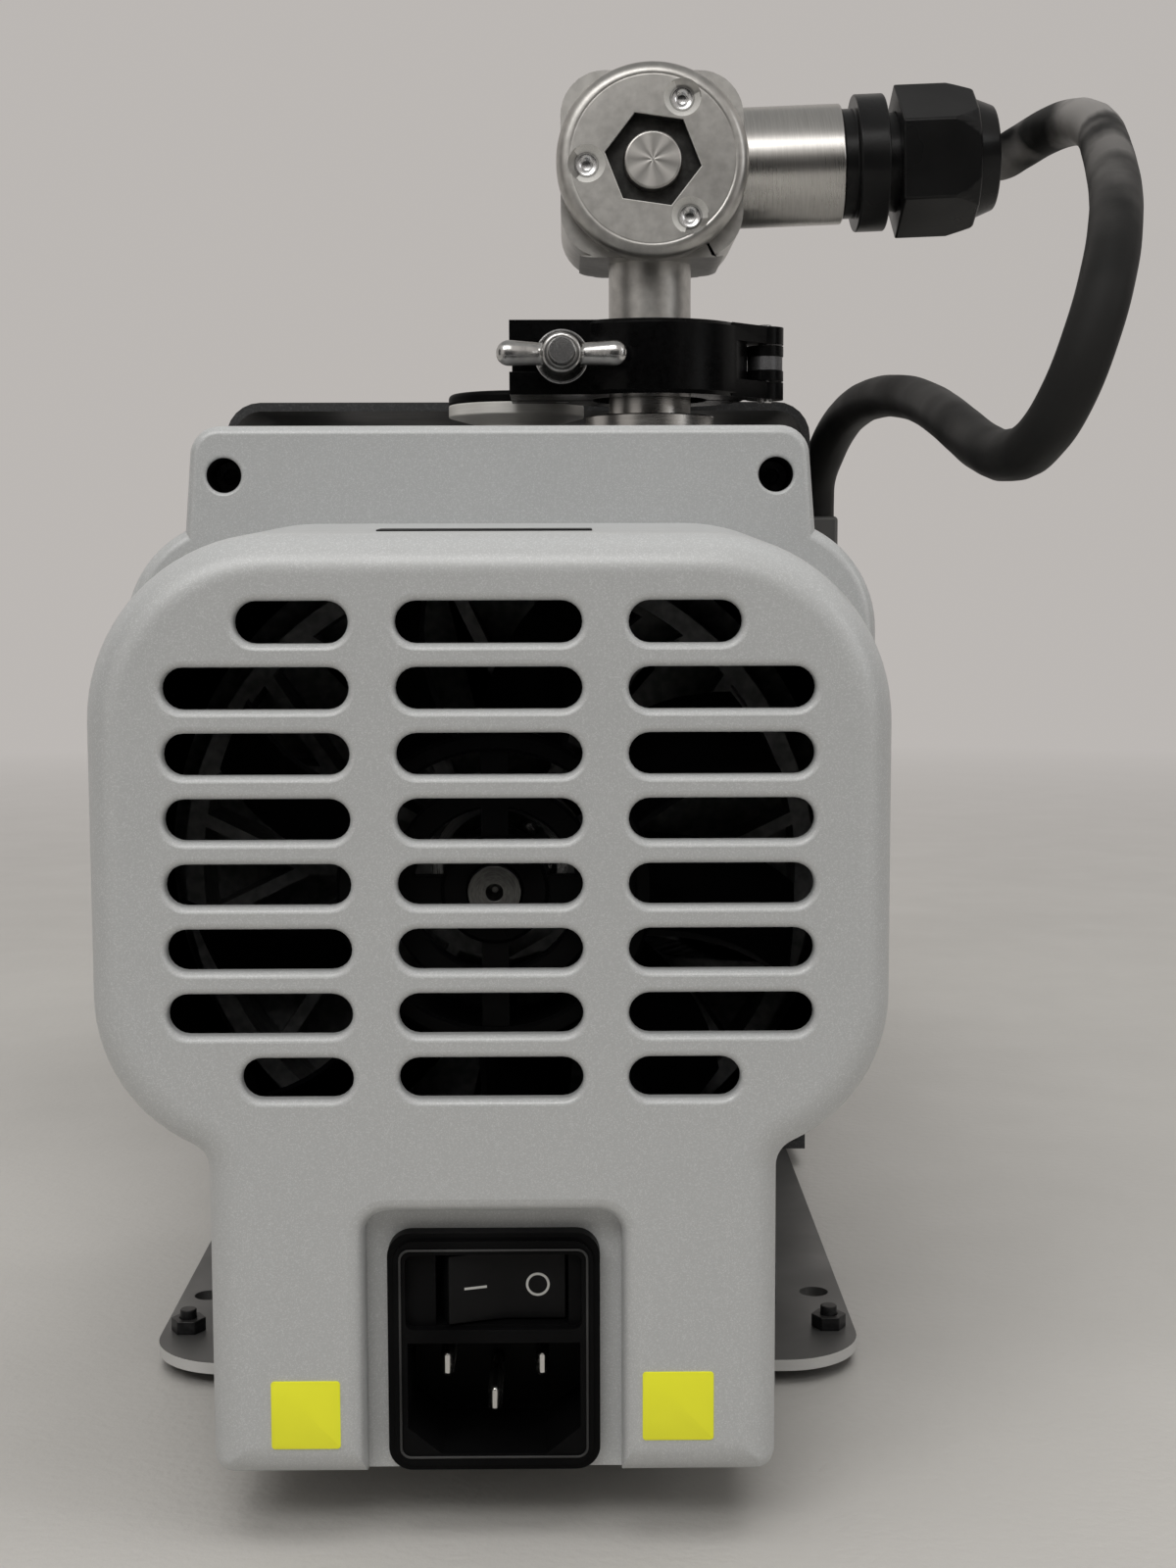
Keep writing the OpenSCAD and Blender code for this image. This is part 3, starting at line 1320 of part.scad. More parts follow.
module clamp_rear_jaw() {
    pivot_y = in_y + 4.4;
    color([0.08, 0.08, 0.09]) difference() {
        union() {
            difference() {
                half_ring(1);
                translate([knuckle_x, in_y, clamp_low - 1]) cylinder(h = clamp_h + 2, r = knuckle_r + jaw_play);
            }
            knuckle(tongue_low, tongue_low + tongue_t, 1);
            knuckle(tongue_high - tongue_t, tongue_high, 1);
            block([lug_x, in_y + split, clamp_low], [inlet_x - kf_r - 0.5, in_y + rear_lug_back, clamp_high]);
        }
        block([lug_x - 1, in_y - 10, joint_z - slot_half], [bolt_x + 3.6, in_y + 7.2, joint_z + slot_half]);
        translate([bolt_x, pivot_y, clamp_low - 1]) cylinder(h = clamp_h + 2, r = 1.5 + seat_gap);
        translate([inlet_x, in_y, clamp_low - 1]) cylinder(h = clamp_h + 2, r = clamp_in_r);
    }
}

module clamp_front_jaw() {
    color([0.08, 0.08, 0.09]) difference() {
        union() {
            difference() {
                half_ring(-1);
                translate([knuckle_x, in_y, clamp_low - 1]) cylinder(h = clamp_h + 2, r = knuckle_r + jaw_play);
            }
            knuckle(clamp_low, clamp_low + ear_t, -1);
            knuckle(clamp_high - ear_t, clamp_high, -1);
            difference() {
                block([lug_x, front_lug_y, clamp_low], [inlet_x - 8, in_y - split, clamp_high]);
                translate([inlet_x, in_y, clamp_low - 1]) cylinder(h = clamp_h + 2, r = kf_r + 1);
            }
        }
        block([lug_x - 1, front_lug_y - 1, joint_z - slot_half],
            [bolt_x + 3.6, in_y + 1, joint_z + slot_half]);
    }
}

module clamp_hinge_pin() {
    color([0.6, 0.6, 0.62]) translate([knuckle_x, in_y, clamp_low - 0.6])
        cylinder(h = clamp_h + 1.2, r = hinge_pin_r);
}

module clamp_bolt() {
    pivot_y = in_y + 4.4;
    color([0.7, 0.7, 0.7]) {
        difference() {
            union() {
                translate([bolt_x, pivot_y, joint_z - 2.1]) cylinder(h = 4.2, r = 2.7);
                rod_y(swing_r, in_y - swing_reach, pivot_y, bolt_x, joint_z);
            }
            translate([bolt_x, pivot_y, joint_z - 5]) cylinder(h = 10, r = 1.5 + seat_gap);
        }
        translate([bolt_x, pivot_y, clamp_low]) cylinder(h = clamp_h, r = 1.5);
    }
}

module clamp_washer() {
    color([0.75, 0.75, 0.76]) difference() {
        rod_y(5.5, front_lug_y - washer_t, front_lug_y - seat_gap, bolt_x, joint_z);
        rod_y(swing_r + run_gap, front_lug_y - 5, front_lug_y + 5, bolt_x, joint_z);
    }
}

module wing(s) {
    y0 = front_lug_y - washer_t - nut_hub_l;
    translate([bolt_x, 0, joint_z]) hull() {
        translate([s * 3, y0 + 4, 0]) sphere(r = 2.2, $fn = 16);
        translate([s * 7.5, y0 + 2.8, 0]) sphere(r = 1.8, $fn = 16);
        translate([s * (wing_span / 2 - 2.6), y0 + 1.6, 0]) scale([1, 0.7, 1]) sphere(r = 2.6, $fn = 16);
    }
}

module wing_nut() {
    y0 = front_lug_y - washer_t - nut_hub_l;
    color([0.78, 0.78, 0.79]) difference() {
        union() {
            translate([bolt_x, y0 + nut_hub_l, joint_z]) rotate([90, 0, 0])
                cylinder(h = nut_hub_l, r1 = 5.2, r2 = 3.9);
            wing(-1);
            wing(1);
        }
        rod_y(swing_r + run_gap, y0 - 5, y0 + 15, bolt_x, joint_z);
    }
}

// Valve
neck_top = valve_z - body_half;
seat_y = valve_end_y - 4;
plunger_r = 6.4;
chamber_front_y = disc_y + 8.5;
rear_flange_y = valve_end_y + rear_port_l;
disc_screw_angle = 64;

module valve_body() {
    neck_low = joint_z + kf_gap / 2;
    color([0.75, 0.75, 0.76]) difference() {
        union() {
            rounded_slab(2 * body_half, 2 * body_half, body_edge_r, disc_y, valve_end_y, inlet_x, valve_z);
            translate([inlet_x, in_y, neck_low]) mirror([0, 0, 1]) kf_flange(neck_top - neck_low + 2);
            translate([inlet_x, rear_flange_y, valve_z]) rotate([-90, 0, 0]) kf_flange(rear_port_l + 1);
        }
        rod_y(valve_chamber_r, disc_y - 1, seat_y, inlet_x, valve_z);
        translate([inlet_x, in_y, neck_low + 3]) cylinder(h = valve_z - neck_low, r = bore_r);
        rod_y(bore_r, seat_y - 1, valve_end_y + 5, inlet_x, valve_z);
        translate([inlet_x + body_half - 4, in_y, valve_z]) rotate([0, 90, 0]) cylinder(h = 5, r = 3);
        for (i = [0:2])
            let (a = disc_screw_angle + 120 * i)
                rod_y(1.5 + seat_gap, disc_y - 1, disc_y + 6, inlet_x + disc_screw_radius * cos(a),
                    valve_z + disc_screw_radius * sin(a));
    }
}

module valve_disc() {
    front_y = disc_y - disc_t;
    color([0.8, 0.8, 0.81]) difference() {
        union() {
            translate([inlet_x, disc_y, valve_z]) rotate([90, 0, 0]) {
                cylinder(h = disc_t - 1.2, r = disc_r);
                translate([0, 0, disc_t - 1.2 - eps]) cylinder(h = 1.2 + eps, r1 = disc_r, r2 = disc_r - 1.4);
            }
            rod_y(valve_chamber_r - seat_gap, disc_y - eps, disc_y + 1, inlet_x, valve_z);
        }
        translate([inlet_x, front_y + hex_depth, valve_z]) rotate([90, 8, 0]) hex_prism(hex_af, hex_depth + 1);
        rod_y(post_r + seat_gap, front_y, disc_y + 2, inlet_x, valve_z);
        for (i = [0:2])
            let (a = disc_screw_angle + 120 * i)
                translate([inlet_x + disc_screw_radius * cos(a), front_y, valve_z + disc_screw_radius * sin(a)])
                    rotate([-90, 0, 0]) {
                        translate([0, 0, -1]) cylinder(h = 1.6, r = disc_screw_r + 0.1);
                        translate([0, 0, 0.6 - eps]) cylinder(h = disc_screw_r, r1 = disc_screw_r + 0.1, r2 = 0.1);
                        cylinder(h = disc_t + 2, r = 1.5 + seat_gap);
                    }
    }
}

module disc_screws() {
    front_y = disc_y - disc_t;
    color([0.7, 0.7, 0.7]) for (i = [0:2])
        let (a = disc_screw_angle + 120 * i)
            translate([inlet_x + disc_screw_radius * cos(a), front_y + 0.6, valve_z + disc_screw_radius * sin(a)])
                rotate([-90, 0, 0]) difference() {
                    union() {
                        cylinder(h = disc_screw_r - 1.5, r1 = disc_screw_r, r2 = 1.5);
                        cylinder(h = disc_t + 4, r = 1.5);
                    }
                    translate([0, 0, -1]) cylinder(h = 2, r = 1.5, $fn = 6);
                }
}

module centre_post() {
    color([0.8, 0.8, 0.82]) rod_y(post_r, disc_y - disc_t + 0.9, chamber_front_y, inlet_x, valve_z);
}

module valve_coil() {
    color([0.35, 0.2, 0.12]) difference() {
        rod_y(valve_chamber_r - 0.5, disc_y + 1, chamber_front_y, inlet_x, valve_z);
        rod_y(post_r + seat_gap, disc_y, chamber_front_y + 1, inlet_x, valve_z);
    }
}

plunger_y = chamber_front_y + plunger_travel + 0.5;
seal_y = seat_y - 2.5;

module valve_plunger() {
    color([0.65, 0.65, 0.67]) {
        rod_y(plunger_r, plunger_y, seal_y - 2, inlet_x, valve_z);
        rod_y(valve_chamber_r - 0.8, seal_y - 2 - eps, seal_y, inlet_x, valve_z);
    }
}

module valve_seat_seal() {
    color([0.1, 0.09, 0.08]) rod_y(valve_chamber_r - 1.6, seal_y, seat_y - 0.02, inlet_x, valve_z);
}

// Coil spring round the plunger
spring_turns = 3;
spring_wire = 0.6;
spring_r = 8.4;
spring_y0 = chamber_front_y + 1;
spring_y1 = seal_y - 3;

module valve_spring() {
    steps = 14 * spring_turns;
    sides = 6;
    color([0.7, 0.7, 0.72]) translate([inlet_x, 0, valve_z])
        tube([
            for (i = [0:steps]) let (a = 360 * spring_turns * i / steps)
                [spring_r * cos(a), spring_y0 + (spring_y1 - spring_y0) * i / steps, spring_r * sin(a)]
        ], spring_wire, sides);
}

// Places children on the side arm, their z axis along it
module on_arm(start = 0) {
    translate([inlet_x, in_y, arm_z]) rotate([0, 90 - arm_tilt, 0]) translate([0, 0, start]) children();
}

module side_arm() {
    color([0.78, 0.78, 0.8]) difference() {
        on_arm(body_half - 1) cylinder(h = arm_reach - body_half + 1, r = arm_r);
        on_arm(body_half + 2) cylinder(h = arm_reach, r = arm_r - arm_wall);
        on_arm(body_half - 2) cylinder(h = 10, r = 3);
        block([inlet_x, in_y - 20, valve_z - 20], [inlet_x + body_half, in_y + 20, valve_z + 20]);
    }
}

module cable_gland() {
    color([0.05, 0.05, 0.05]) difference() {
        union() {
            on_arm(arm_reach - 6) cylinder(h = 7, r = gland_thread_r);
            on_arm(arm_reach) cylinder(h = 3, r = 11.1);
            on_arm(gland_ring_start) cylinder(h = gland_ring_t, r = gland_ring_r);
            on_arm(gland_ring_end - eps) cylinder(h = 12, r = gland_thread_r);
        }
        on_arm(arm_reach - 7) cylinder(h = 40, r = cable_r + 2);
    }
}

module gland_nut() {
    hex_r = gland_af / sqrt(3);
    color([0.05, 0.05, 0.05]) on_arm(gland_nut_start) difference() {
        union() {
            rotate([0, 0, 8]) intersection() {
                hex_prism(gland_af, gland_nut_l);
                translate([0, 0, -8]) cylinder(h = 16 + gland_nut_l, r1 = hex_r + 5, r2 = hex_r + 5 - 16 * 0.55);
            }
            translate([0, 0, gland_nut_l - eps])
                cylinder(h = gland_dome_l + eps, r1 = gland_af / 2 - 1.2, r2 = gland_af / 2 - 3);
        }
        translate([0, 0, -1]) cylinder(h = gland_nut_l + 1, r = gland_thread_r + seat_gap);
        cylinder(h = gland_nut_l + gland_dome_l + 1, r = cable_r + 2);
    }
}

module gland_seal() {
    color([0.12, 0.12, 0.12]) on_arm(gland_nut_start) difference() {
        cylinder(h = gland_nut_l + gland_dome_l, r = cable_r + 2 - seat_gap);
        translate([0, 0, -1]) cylinder(h = gland_nut_l + gland_dome_l - 1, r = cable_r + 0.6);
        translate([0, 0, gland_nut_l + gland_dome_l - 3]) cylinder(h = 4, r = 1);
    }
}

// Route of the valve's cable, from the gland round to the entry on the rear cover's side
function on_axis(reach) = [inlet_x + reach * cos(arm_tilt), in_y, arm_z + reach * sin(arm_tilt)];

entry_top = 155;
entry_l = 34;
entry_w = 18;
entry_t = 12;
entry_x = cover_w / 2 + 6.5;
entry_y = 35;
cable_route = [
    on_axis(gland_end), on_axis(gland_end + 2), [105.5, -39.5, 229.5], [110, -46, 232], [113, -56, 232],
    [114, -68, 229], [113, -80, 224.5], [111, -92, 219], [109, -104, 213.5], [107, -116, 207.5],
    [104, -128, 200.5], [101, -138, 192], [97, -143.5, 181], [93.5, -141, 169.5], [91, -131, 162.5],
    [89, -116, 161], [88, -98, 164], [87, -80, 169], [87, -62, 173], [86, -44, 177], [85, -26, 180],
    [82, -8, 181], [80, 7, 180], [entry_x + 3.5, 19, 176.5], [entry_x + 1.5, 28, 170.5],
    [entry_x, entry_y - 1.5, 163.5], [entry_x, entry_y, entry_top + 3], [entry_x, entry_y, entry_top]
];

function unit(v) = v / norm(v);

// A tube through points, its rings kept from twisting
module tube(points, r, sides) {
    n = len(points);
    along = [for (i = [0:n - 1]) unit(points[min(i + 1, n - 1)] - points[max(i - 1, 0)])];
    start = unit(cross(along[0], abs(along[0][2]) < 0.9 ? [0, 0, 1] : [0, 1, 0]));
    across = [
        for (i = 0, v = start; i < n;
            i = i + 1, v = i < n ? unit(v - along[i] * (v * along[i])) : v) v
    ];
    ring_points = [
        for (i = [0:n - 1]) let (u = across[i], w = cross(along[i], u))
            for (k = [0:sides - 1]) let (a = 360 * k / sides)
                points[i] + r * (cos(a) * u + sin(a) * w)
    ];
    skin = [
        for (i = [0:n - 2]) for (k = [0:sides - 1])
            let (a = i * sides + k, b = i * sides + (k + 1) % sides)
                each [[a, a + sides, b], [b, a + sides, b + sides]]
    ];
    first = [[for (k = [0:sides - 1]) k]];
    end = [[for (k = [0:sides - 1]) (n - 1) * sides + sides - 1 - k]];
    polyhedron(ring_points, concat(first, skin, end));
}

module valve_cable() {
    color([0.25, 0.25, 0.26]) tube(cable_route, cable_r, 10);
}

module cable_entry() {
    x0 = cover_w / 2;
    color([0.15, 0.15, 0.16]) {
        block([x0, entry_y - entry_w / 2, entry_top - entry_l], [x0 + entry_t, entry_y + entry_w / 2, entry_top - 3]);
        translate([entry_x, entry_y, entry_top - 3 - eps]) cylinder(h = 3 + eps, r = cable_r + 1.2);
    }
}

base_plate();
rubber_feet();
foot_studs();
foot_nuts();
fan_cowl();
cowl_screws();
power_inlet();
inlet_pins();
rocker();
fixed_scroll();
fixed_tip_seal();
orbiting_scroll();
orbiting_tip_seal();
crankshaft();
counterweight();
cooling_fan();
main_bearings();
crank_bearing();
orbit_bushes();
frame_bushes();
idler_crank_1();
idler_crank_2();
idler_crank_3();
frame_casting();
housing_bolts();
frame_bolts();
motor_shell();
stator_core();
stator_windings();
rotor();
motor_end_bell();
motor_foot();
rear_cover();
cover_screws();
rear_grille();
inlet_port();
centring_ring();
o_ring();
exhaust_port();
exhaust_cap();
clamp_rear_jaw();
clamp_front_jaw();
clamp_hinge_pin();
clamp_bolt();
clamp_washer();
wing_nut();
valve_body();
valve_disc();
disc_screws();
centre_post();
valve_coil();
valve_plunger();
valve_seat_seal();
valve_spring();
side_arm();
cable_gland();
gland_nut();
gland_seal();
valve_cable();
cable_entry();
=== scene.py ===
"""Looks of a dry scroll vacuum pump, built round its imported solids.

Every sub-assembly is a class that holds its sizes in millimetres, builds its meshes in the
frame of the solids and dresses them in procedural finishes.
"""

import json
import logging
import math
from collections.abc import Callable, Sequence
from dataclasses import dataclass, replace
from enum import Enum

import bmesh
import bpy
from mathutils import Matrix, Vector

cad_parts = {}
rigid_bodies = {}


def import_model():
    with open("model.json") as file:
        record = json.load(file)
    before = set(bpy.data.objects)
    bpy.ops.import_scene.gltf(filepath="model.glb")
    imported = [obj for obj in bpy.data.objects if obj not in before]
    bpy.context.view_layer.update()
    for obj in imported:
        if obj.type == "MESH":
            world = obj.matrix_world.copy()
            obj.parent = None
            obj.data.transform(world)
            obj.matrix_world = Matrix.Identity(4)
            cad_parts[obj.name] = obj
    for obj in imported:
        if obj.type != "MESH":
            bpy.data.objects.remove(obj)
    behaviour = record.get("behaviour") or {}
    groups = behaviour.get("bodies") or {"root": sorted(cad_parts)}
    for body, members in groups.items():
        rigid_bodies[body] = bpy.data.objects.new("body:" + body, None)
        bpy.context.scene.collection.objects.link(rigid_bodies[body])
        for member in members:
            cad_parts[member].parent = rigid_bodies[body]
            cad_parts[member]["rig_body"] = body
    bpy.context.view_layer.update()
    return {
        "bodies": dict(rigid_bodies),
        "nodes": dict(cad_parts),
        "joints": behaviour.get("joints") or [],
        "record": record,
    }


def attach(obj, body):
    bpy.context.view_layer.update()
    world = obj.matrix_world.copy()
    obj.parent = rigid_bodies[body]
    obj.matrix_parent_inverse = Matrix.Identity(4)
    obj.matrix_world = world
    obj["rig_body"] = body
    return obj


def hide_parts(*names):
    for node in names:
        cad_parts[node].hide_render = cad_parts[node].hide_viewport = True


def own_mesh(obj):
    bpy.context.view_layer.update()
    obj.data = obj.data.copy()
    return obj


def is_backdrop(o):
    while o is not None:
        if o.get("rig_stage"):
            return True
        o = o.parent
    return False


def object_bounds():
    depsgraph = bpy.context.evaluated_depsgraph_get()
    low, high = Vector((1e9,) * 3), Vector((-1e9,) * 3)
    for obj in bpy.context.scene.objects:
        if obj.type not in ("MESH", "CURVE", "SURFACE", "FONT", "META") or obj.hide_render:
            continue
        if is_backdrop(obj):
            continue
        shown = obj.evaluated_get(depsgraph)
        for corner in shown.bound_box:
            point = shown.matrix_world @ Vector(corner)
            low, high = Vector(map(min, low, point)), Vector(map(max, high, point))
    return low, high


LOG = logging.getLogger("scroll_pump")
MM = 0.001
SHARP_DEG = 32.0
ROUNDED_DEG = 35.0
DUSTY = 0.15
DUST_COLOUR = (0.42, 0.4, 0.37)
DRAWN_SHARE = 0.02
TURN_SHARE = 0.0005
Point = tuple[float, float, float]
Colour = tuple[float, float, float]
Outline = list[tuple[float, float]]
Rings = list[tuple[float, Outline]]
Shape = Callable[[float], Outline]
Piece = bpy.types.Object
Socket = bpy.types.NodeSocket
Mesh = bmesh.types.BMesh
Picker = Callable[[bpy.types.MeshPolygon], int]
AXIS: Point = (0.0, 0.0, 94.0)


# ---------------------------------------------------------------- finishes


class Grain(Enum):
    """What the surface of a finish looks like from close up."""

    PEEL = "sprayed paint with a fine metallic sparkle"
    STIPPLE = "moulded plastic with an even stipple"
    CAST = "sand or die casting"
    LINES = "fine scratches from brushing or turning"
    WOUND = "enamelled wire laid side by side"
    # Its colour bands are painted highlights of turned metal; the same pattern is also its bump.
    RAYS = "facets that run out from a centre"
    SMEAR = "dull rubber with pale smears"
    SHEET = "rolled sheet with faint marks"


class Lay(Enum):
    """How the grain of a finish lies on a piece."""

    EVEN = "the same in all directions"
    ALONG_X = "along X"
    ALONG_Y = "along Y"
    ROUND_X = "round an axis along X"
    ROUND_Y = "round an axis along Y"
    ROUND_Z = "round an axis along Z"


class Wiring:
    """A node tree, with short ways to add and join its nodes."""

    def __init__(self, tree: bpy.types.NodeTree) -> None:
        """Keeps the tree.

        Args:
            tree: The tree that the nodes go into.
        """
        self.tree = tree

    def add(self, kind: str, inputs: dict | None = None, **settings: object) -> bpy.types.Node:
        """Adds a node.

        Args:
            kind: Blender's name for the node's type.
            inputs: A value or another node's output for each input that is set.
            **settings: The node's own properties.

        Returns:
            The new node.
        """
        node = self.tree.nodes.new(kind)
        for key, value in settings.items():
            setattr(node, key, value)
        for key, value in (inputs or {}).items():
            if isinstance(value, Socket):
                self.join(value, node.inputs[key])
            else:
                node.inputs[key].default_value = value
        return node

    def join(self, source: Socket, target: Socket) -> None:
        """Links an output to an input."""
        self.tree.links.new(source, target)


class Graph(Wiring):
    """A material's nodes, with the few kinds that the finishes need."""

    def __init__(self, name: str) -> None:
        """Starts a material with an empty tree, its shader and its output.

        Args:
            name: The material's name.
        """
        self.material = bpy.data.materials.new(name)
        self.material.use_nodes = True
        super().__init__(self.material.node_tree)
        self.tree.nodes.clear()
        self.shader = self.add("ShaderNodeBsdfPrincipled")
        self.output = self.add("ShaderNodeOutputMaterial")
        self.join(self.shader.outputs["BSDF"], self.output.inputs["Surface"])

    def sum(self, operation: str, *values: object) -> Socket:
        """Adds a math node and gives its result."""
        return self.add("ShaderNodeMath", dict(enumerate(values)), operation=operation).outputs[0]

    def vector(self, operation: str, *values: object, result: int = 0) -> Socket:
        """Adds a vector math node and gives one of its two results: the vector, or with 1 the number."""
        node = self.add("ShaderNodeVectorMath", dict(enumerate(values)), operation=operation)
        return node.outputs[result]

    def parts(self, vector: object) -> Sequence[Socket]:
        """Splits a vector into X, Y and Z."""
        return self.add("ShaderNodeSeparateXYZ", {0: vector}).outputs

    def emboss(self, height: object, distance: float) -> None:
        """Gives the shader a bump of a depth in metres."""
        bump = self.add("ShaderNodeBump", {"Strength": 1.0, "Distance": distance, "Height": height})
        self.join(bump.outputs[0], self.shader.inputs["Normal"])

    def span(self, value: object, low: float, high: float, to_low: float, to_high: float) -> Socket:
        """Maps a range of a value to another range, held at its ends."""
        node = self.add(
            "ShaderNodeMapRange",
            {"Value": value, "From Min": low, "From Max": high, "To Min": to_low, "To Max": to_high},
        )
        return node.outputs["Result"]

    def noise(self, where: object, size_mm: float, detail: float = 2.0) -> Socket:
        """Adds a noise texture whose lumps have a size.

        Args:
            where: The coordinates that it reads, in metres.
            size_mm: The size of a lump.
            detail: How many finer layers it has.

        Returns:
            The noise's value.
        """
        settings = {"Vector": where, "Scale": 1000.0 / size_mm, "Detail": detail}
        return self.add("ShaderNodeTexNoise", settings).outputs[0]

    def mix(self, share: object, first: object, second: object) -> Socket:
        """Mixes two colours by a share that varies over the surface."""
        node = self.add("ShaderNodeMix", data_type="RGBA")
        factor, colour_a, colour_b = 0, 6, 7
        for key, value in ((factor, share), (colour_a, first), (colour_b, second)):
            socket = node.inputs[key]
            if isinstance(value, Socket):
                self.join(value, socket)
            else:
                socket.default_value = (*value, 1.0) if isinstance(value, tuple) else value
        return node.outputs[2]


@dataclass(frozen=True)
class Finish:
    """A procedural finish, its grain sized in millimetres."""

    name: str
    colour: Colour
    tint: Colour
    grain: Grain
    roughness: float
    swing: float = 0.06
    metallic: float = 0.0
    grain_mm: float = 1.0
    depth_mm: float = 0.01
    lay: Lay = Lay.EVEN
    centre: Point = (0.0, 0.0, 0.0)
    dust: float = 0.0
    specular: float = 0.5

    def at(self, lay: Lay, centre: Point = (0.0, 0.0, 0.0), tag: str = "") -> "Finish":
        """Gives the same finish with its grain laid another way."""
        return replace(self, lay=lay, centre=centre, name=f"{self.name}_{tag or lay.name.lower()}")

    def where(self, g: Graph) -> tuple[Socket, Socket]:
        """Adds the nodes that say where a point lies in the grain.

        Args:
            g: The material's tree.

        Returns:
            The plain coordinates, and those that are drawn out along the grain.
        """
        plain = g.add("ShaderNodeTexCoord").outputs["Object"]
        if self.lay is Lay.EVEN:
            return plain, plain
        if self.lay in (Lay.ALONG_X, Lay.ALONG_Y):
            shrink = [1.0, 1.0, 1.0]
            shrink["XYZ".index(self.lay.name[-1])] = DRAWN_SHARE
            return plain, g.add("ShaderNodeMapping", {"Vector": plain, "Scale": shrink}).outputs[0]
        centre = tuple(c * MM for c in self.centre)
        parts = g.parts(g.vector("SUBTRACT", plain, centre))
        axis = "XYZ".index(self.lay.name[-1])
        across = [parts[i] for i in range(3) if i != axis]
        flat = g.add("ShaderNodeCombineXYZ", {0: across[0], 1: across[1]}).outputs[0]
        radius = g.vector("LENGTH", flat, result=1)
        turn = g.parts(g.vector("NORMALIZE", flat))
        reach = g.sum("ADD", radius, parts[axis])
        around = [g.sum("MULTIPLY", turn[k], TURN_SHARE) for k in (0, 1)]
        return plain, g.add("ShaderNodeCombineXYZ", dict(enumerate((reach, *around)))).outputs[0]

    def height(self, g: Graph, plain: Socket, drawn: Socket) -> tuple[Socket, Socket]:
        """Adds the nodes of the grain itself.

        Args:
            g: The material's tree.
            plain: The plain coordinates.
            drawn: The coordinates drawn out along the grain.

        Returns:
            The grain's height, and the share of the tint.
        """
        if self.grain is Grain.PEEL:
            fleck = {"Vector": plain, "Scale": 1000.0 / (0.28 * self.grain_mm)}
            cells = g.add("ShaderNodeTexVoronoi", fleck)
            spark = g.add("ShaderNodeSeparateColor", {0: cells.outputs["Color"]}).outputs[0]
            return g.noise(plain, self.grain_mm, 1.0), g.span(spark, 0.62, 1.0, 0.0, 1.0)
        if self.grain is Grain.STIPPLE:
            fine = g.noise(plain, 0.45 * self.grain_mm, 1.0)
            return fine, g.span(g.noise(plain, 14.0, 3.0), 0.35, 0.7, 0.0, 1.0)
        if self.grain is Grain.CAST:
            lumps = g.noise(plain, 1.6 * self.grain_mm, 4.0)
            return lumps, g.span(lumps, 0.35, 0.65, 0.0, 1.0)
        if self.grain is Grain.WOUND:
            wave = g.add(
                "ShaderNodeTexWave",
                {"Vector": plain, "Scale": 314.0 / self.grain_mm / 6.0, "Distortion": 1.5, "Detail": 2.0},
                wave_type="BANDS",
                bands_direction="DIAGONAL",
            ).outputs["Fac"]
            return wave, g.span(wave, 0.0, 0.6, 1.0, 0.0)
        # Rays: the colour bands are painted highlights of turned metal; the same wave also makes the bump.
        if self.grain is Grain.RAYS:
            parts = g.parts(drawn)
            angle = g.sum("ARCTAN2", parts[2], parts[1])
            wobble = g.sum("MULTIPLY", g.noise(plain, 3.0, 1.0), 1.6)
            wave = g.sum("SINE", g.sum("ADD", g.sum("MULTIPLY", angle, 7.0), wobble))
            return wave, g.span(wave, -0.6, 0.8, 0.0, 1.0)
        if self.grain is Grain.SMEAR:
            fine = g.noise(plain, 0.5 * self.grain_mm, 3.0)
            streaks = g.noise(plain, 16.0, 5.0)
            smear = g.sum("MULTIPLY", streaks, g.span(g.noise(plain, 22.0, 2.0), 0.38, 0.6, 0.25, 1.0))
            parts = g.parts(plain)
            # The pale blotches are kept to the cable's top loop, near the gland, and fade out lower down.
            upper = g.span(parts[2], 0.196, 0.226, 0.04, 1.0)
            near_top = g.sum("MULTIPLY", upper, g.span(parts[1], -0.1, -0.06, 0.6, 1.0))
            return fine, g.sum("MULTIPLY", g.span(smear, 0.16, 0.46, 0.0, 1.0), near_top)
        if self.grain is Grain.SHEET:
            marks = g.noise(drawn, 0.7 * self.grain_mm, 3.0)
            return marks, g.span(g.noise(plain, 32.0, 4.0), 0.35, 0.68, 0.0, 1.0)
        lines = g.noise(drawn, 0.3 * self.grain_mm, 2.0)
        return lines, g.span(lines, 0.3, 0.7, 0.0, 1.0)

    def material(self) -> bpy.types.Material:
        """Builds the material, or gives it where it is built already."""
        label = f"finish_{self.name}"
        known = bpy.data.materials.get(label)
        if known:
            return known
        g = Graph(label)
        plain, drawn = self.where(g)
        grain, tinted = self.height(g, plain, drawn)
        colour = g.mix(tinted, self.colour, self.tint)
        smudge = g.noise(plain, 23.0, 3.0)
        if self.dust > 0:
            normal = g.add("ShaderNodeNewGeometry").outputs["Normal"]
            up = g.parts(normal)[2]
            lies = g.sum("MULTIPLY", g.span(up, 0.3, 1.0, 0.0, self.dust), g.noise(plain, 6.0, 4.0))
            colour = g.mix(lies, colour, DUST_COLOUR)
        g.join(colour, g.shader.inputs["Base Color"])
        smoothest = max(self.roughness - self.swing, 0.03)
        rough = g.span(smudge, 0.32, 0.68, smoothest, self.roughness + self.swing)
        if self.grain in (Grain.LINES, Grain.RAYS, Grain.PEEL):
            rough = g.sum("ADD", rough, g.sum("MULTIPLY", tinted, self.swing))
        g.join(rough, g.shader.inputs["Roughness"])
        g.shader.inputs["Metallic"].default_value = self.metallic
        g.shader.inputs["Specular IOR Level"].default_value = self.specular
        g.emboss(grain, self.depth_mm * MM)
        return g.material


